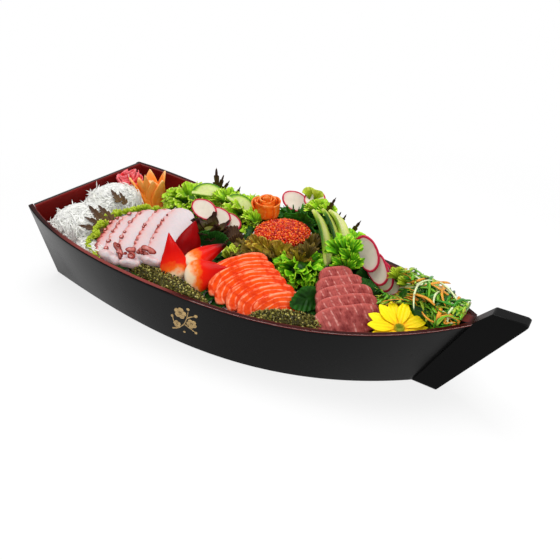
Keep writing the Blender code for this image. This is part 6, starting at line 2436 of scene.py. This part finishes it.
@dataclass
class Studio:
    """White floor, soft overhead light and a camera at the viewer's place."""

    lens: float = 33.36
    azimuth: float = 34.01
    elevation: float = 33.17
    distance: float = 0.5562
    target: Triple = (0.02785, 0.0, 0.0552)
    ambient: float = 0.42
    floor_size: float = 6.0
    # Name, place, size in metres and power in watts.
    lamps: tuple[tuple[str, Triple, float, float], ...] = (
        ("overhead_softbox", (-0.15, 0.10, 1.15), 0.7, 9.5), ("side_fill", (0.9, -0.5, 0.75), 0.8, 5.0))

    def build(self) -> None:
        """Sets the world, the floor, the lamps and the camera."""
        self.world()
        self.floor()
        for lamp in self.lamps:
            self.lamp(*lamp)
        self.camera()
        bpy.context.scene.view_settings.view_transform = "Standard"

    def world(self) -> None:
        """Even pale light that rays from the camera, gloss and glass see as white."""
        world = bpy.data.worlds.new("studio_light")
        world.use_nodes = True
        bpy.context.scene.world = world
        tree = world.node_tree
        seen = self.seen_directly(tree)
        strength = add_node(tree, "Mix", data_type="FLOAT", in0=seen, in2=self.ambient, in3=1.0)
        shader = tree.nodes["Background"]
        shader.inputs["Color"].default_value = (1.0, 1.0, 1.0, 1.0)
        tree.links.new(strength.outputs[0], shader.inputs["Strength"])

    @staticmethod
    def seen_directly(tree: bpy.types.NodeTree) -> Socket:
        """1 for rays from the camera, a gloss or a glass, and 0 for light."""
        rays = add_node(tree, "LightPath").outputs
        gloss = add_node(tree, "Math", operation="MAXIMUM", in0=rays["Is Camera Ray"],
                         in1=rays["Is Glossy Ray"])
        seen = add_node(tree, "Math", operation="MAXIMUM", in0=gloss.outputs[0],
                        in1=rays["Is Transmission Ray"])
        return seen.outputs[0]

    def floor(self) -> None:
        """A wide white floor that keeps the boat's soft shadow and bleaches out away from it."""
        half = self.floor_size / 2
        corners = np.array(((-half, -half, 0), (half, -half, 0), (half, half, 0), (-half, half, 0)))
        mesh = bpy.data.meshes.new("floor")
        mesh.from_pydata(corners.tolist(), [], [(0, 1, 2, 3)])
        material = bpy.data.materials.new("white_paper")
        material.use_nodes = True
        tree = material.node_tree
        tree.nodes.remove(tree.nodes["Principled BSDF"])
        paper = add_node(tree, "BsdfDiffuse", Color=(0.97, 0.97, 0.97, 1.0))
        glow = add_node(tree, "Emission", Color=(1.0, 1.0, 1.0, 1.0), Strength=1.0)
        place = add_node(tree, "TexCoord").outputs["Object"]
        away = add_node(tree, "VectorMath", operation="LENGTH", in0=place)
        bleach = add_node(tree, "MapRange", interpolation_type="SMOOTHSTEP", in0=away.outputs["Value"],
                          in1=0.30, in2=0.75, in3=0.76, in4=1.0)
        share = add_node(tree, "Math", operation="MULTIPLY", in0=self.seen_directly(tree),
                         in1=bleach.outputs[0])
        mixed = add_node(tree, "MixShader", in0=share.outputs[0], in1=paper.outputs[0], in2=glow.outputs[0])
        tree.links.new(mixed.outputs[0], tree.nodes["Material Output"].inputs["Surface"])
        mesh.materials.append(material)
        piece = bpy.data.objects.new("floor", mesh)
        bpy.context.scene.collection.objects.link(piece)

    def lamp(self, name: str, place: Triple, size: float, power: float) -> None:
        """A square soft lamp that looks at the boat."""
        light = bpy.data.lights.new(name, "AREA")
        light.size, light.energy = size, power
        lamp = bpy.data.objects.new(name, light)
        lamp.location = place
        aim = mathutils.Vector(self.target) - lamp.location
        lamp.rotation_euler = aim.to_track_quat("-Z", "Y").to_euler()
        bpy.context.scene.collection.objects.link(lamp)

    def camera(self) -> None:
        """The viewer's camera, turned about the target."""
        around, above = math.radians(self.azimuth), math.radians(self.elevation)
        back = mathutils.Vector((
            math.cos(above) * math.sin(around), -math.cos(above) * math.cos(around), math.sin(above)))
        lens = bpy.data.cameras.new("viewer")
        lens.lens, lens.sensor_width, lens.clip_start = self.lens, 36.0, 0.01
        camera = bpy.data.objects.new("viewer", lens)
        camera.location = mathutils.Vector(self.target) + self.distance * back
        camera.rotation_euler = (-back).to_track_quat("-Z", "Y").to_euler()
        bpy.context.scene.collection.objects.link(camera)
        bpy.context.scene.camera = camera


def main() -> None:
    """Builds the boat, its load and the studio in order."""
    logging.basicConfig(level=logging.INFO, format="%(name)s %(message)s")
    salmon = SliceFan(
        "salmon", SALMON, start=(0.585, -0.128, 11.6), yaw=42,
        lengths=(0.062, 0.068, 0.068, 0.064, 0.058, 0.049),
        width=0.026, thickness=0.006, drop=0.0025, slide=0.0052, droop=0.014, seed=3)
    tuna = SliceFan(
        "tuna", TUNA, start=(0.753, 0.232, 3.8), yaw=46, lengths=(0.036, 0.050, 0.058, 0.062, 0.063),
        width=0.028, thickness=0.007, drop=0.0026, slide=0.0018, seed=13,
        shifts=(0.0, 0.006, 0.008, 0.007, 0.002))
    parts = (
        Hull(), PlumSpray(), salmon, tuna, OctopusSlices(), OctopusEnds(), SurfClams(), RoeDish(),
        RadishFans(), Cucumber(), CarrotTulip(), GingerSlices(), Daisy(), DaikonHeap(), SeaweedSalad(),
        SeaGrapes(), SalmonRose(), RadishBed(), FrillBand(), ShisoLeaf(),
    )
    for part in (*parts, *greens(), Studio()):
        part.build()
        LOG.info("%s done", type(part).__name__)


if __name__ == "__main__":
    main()
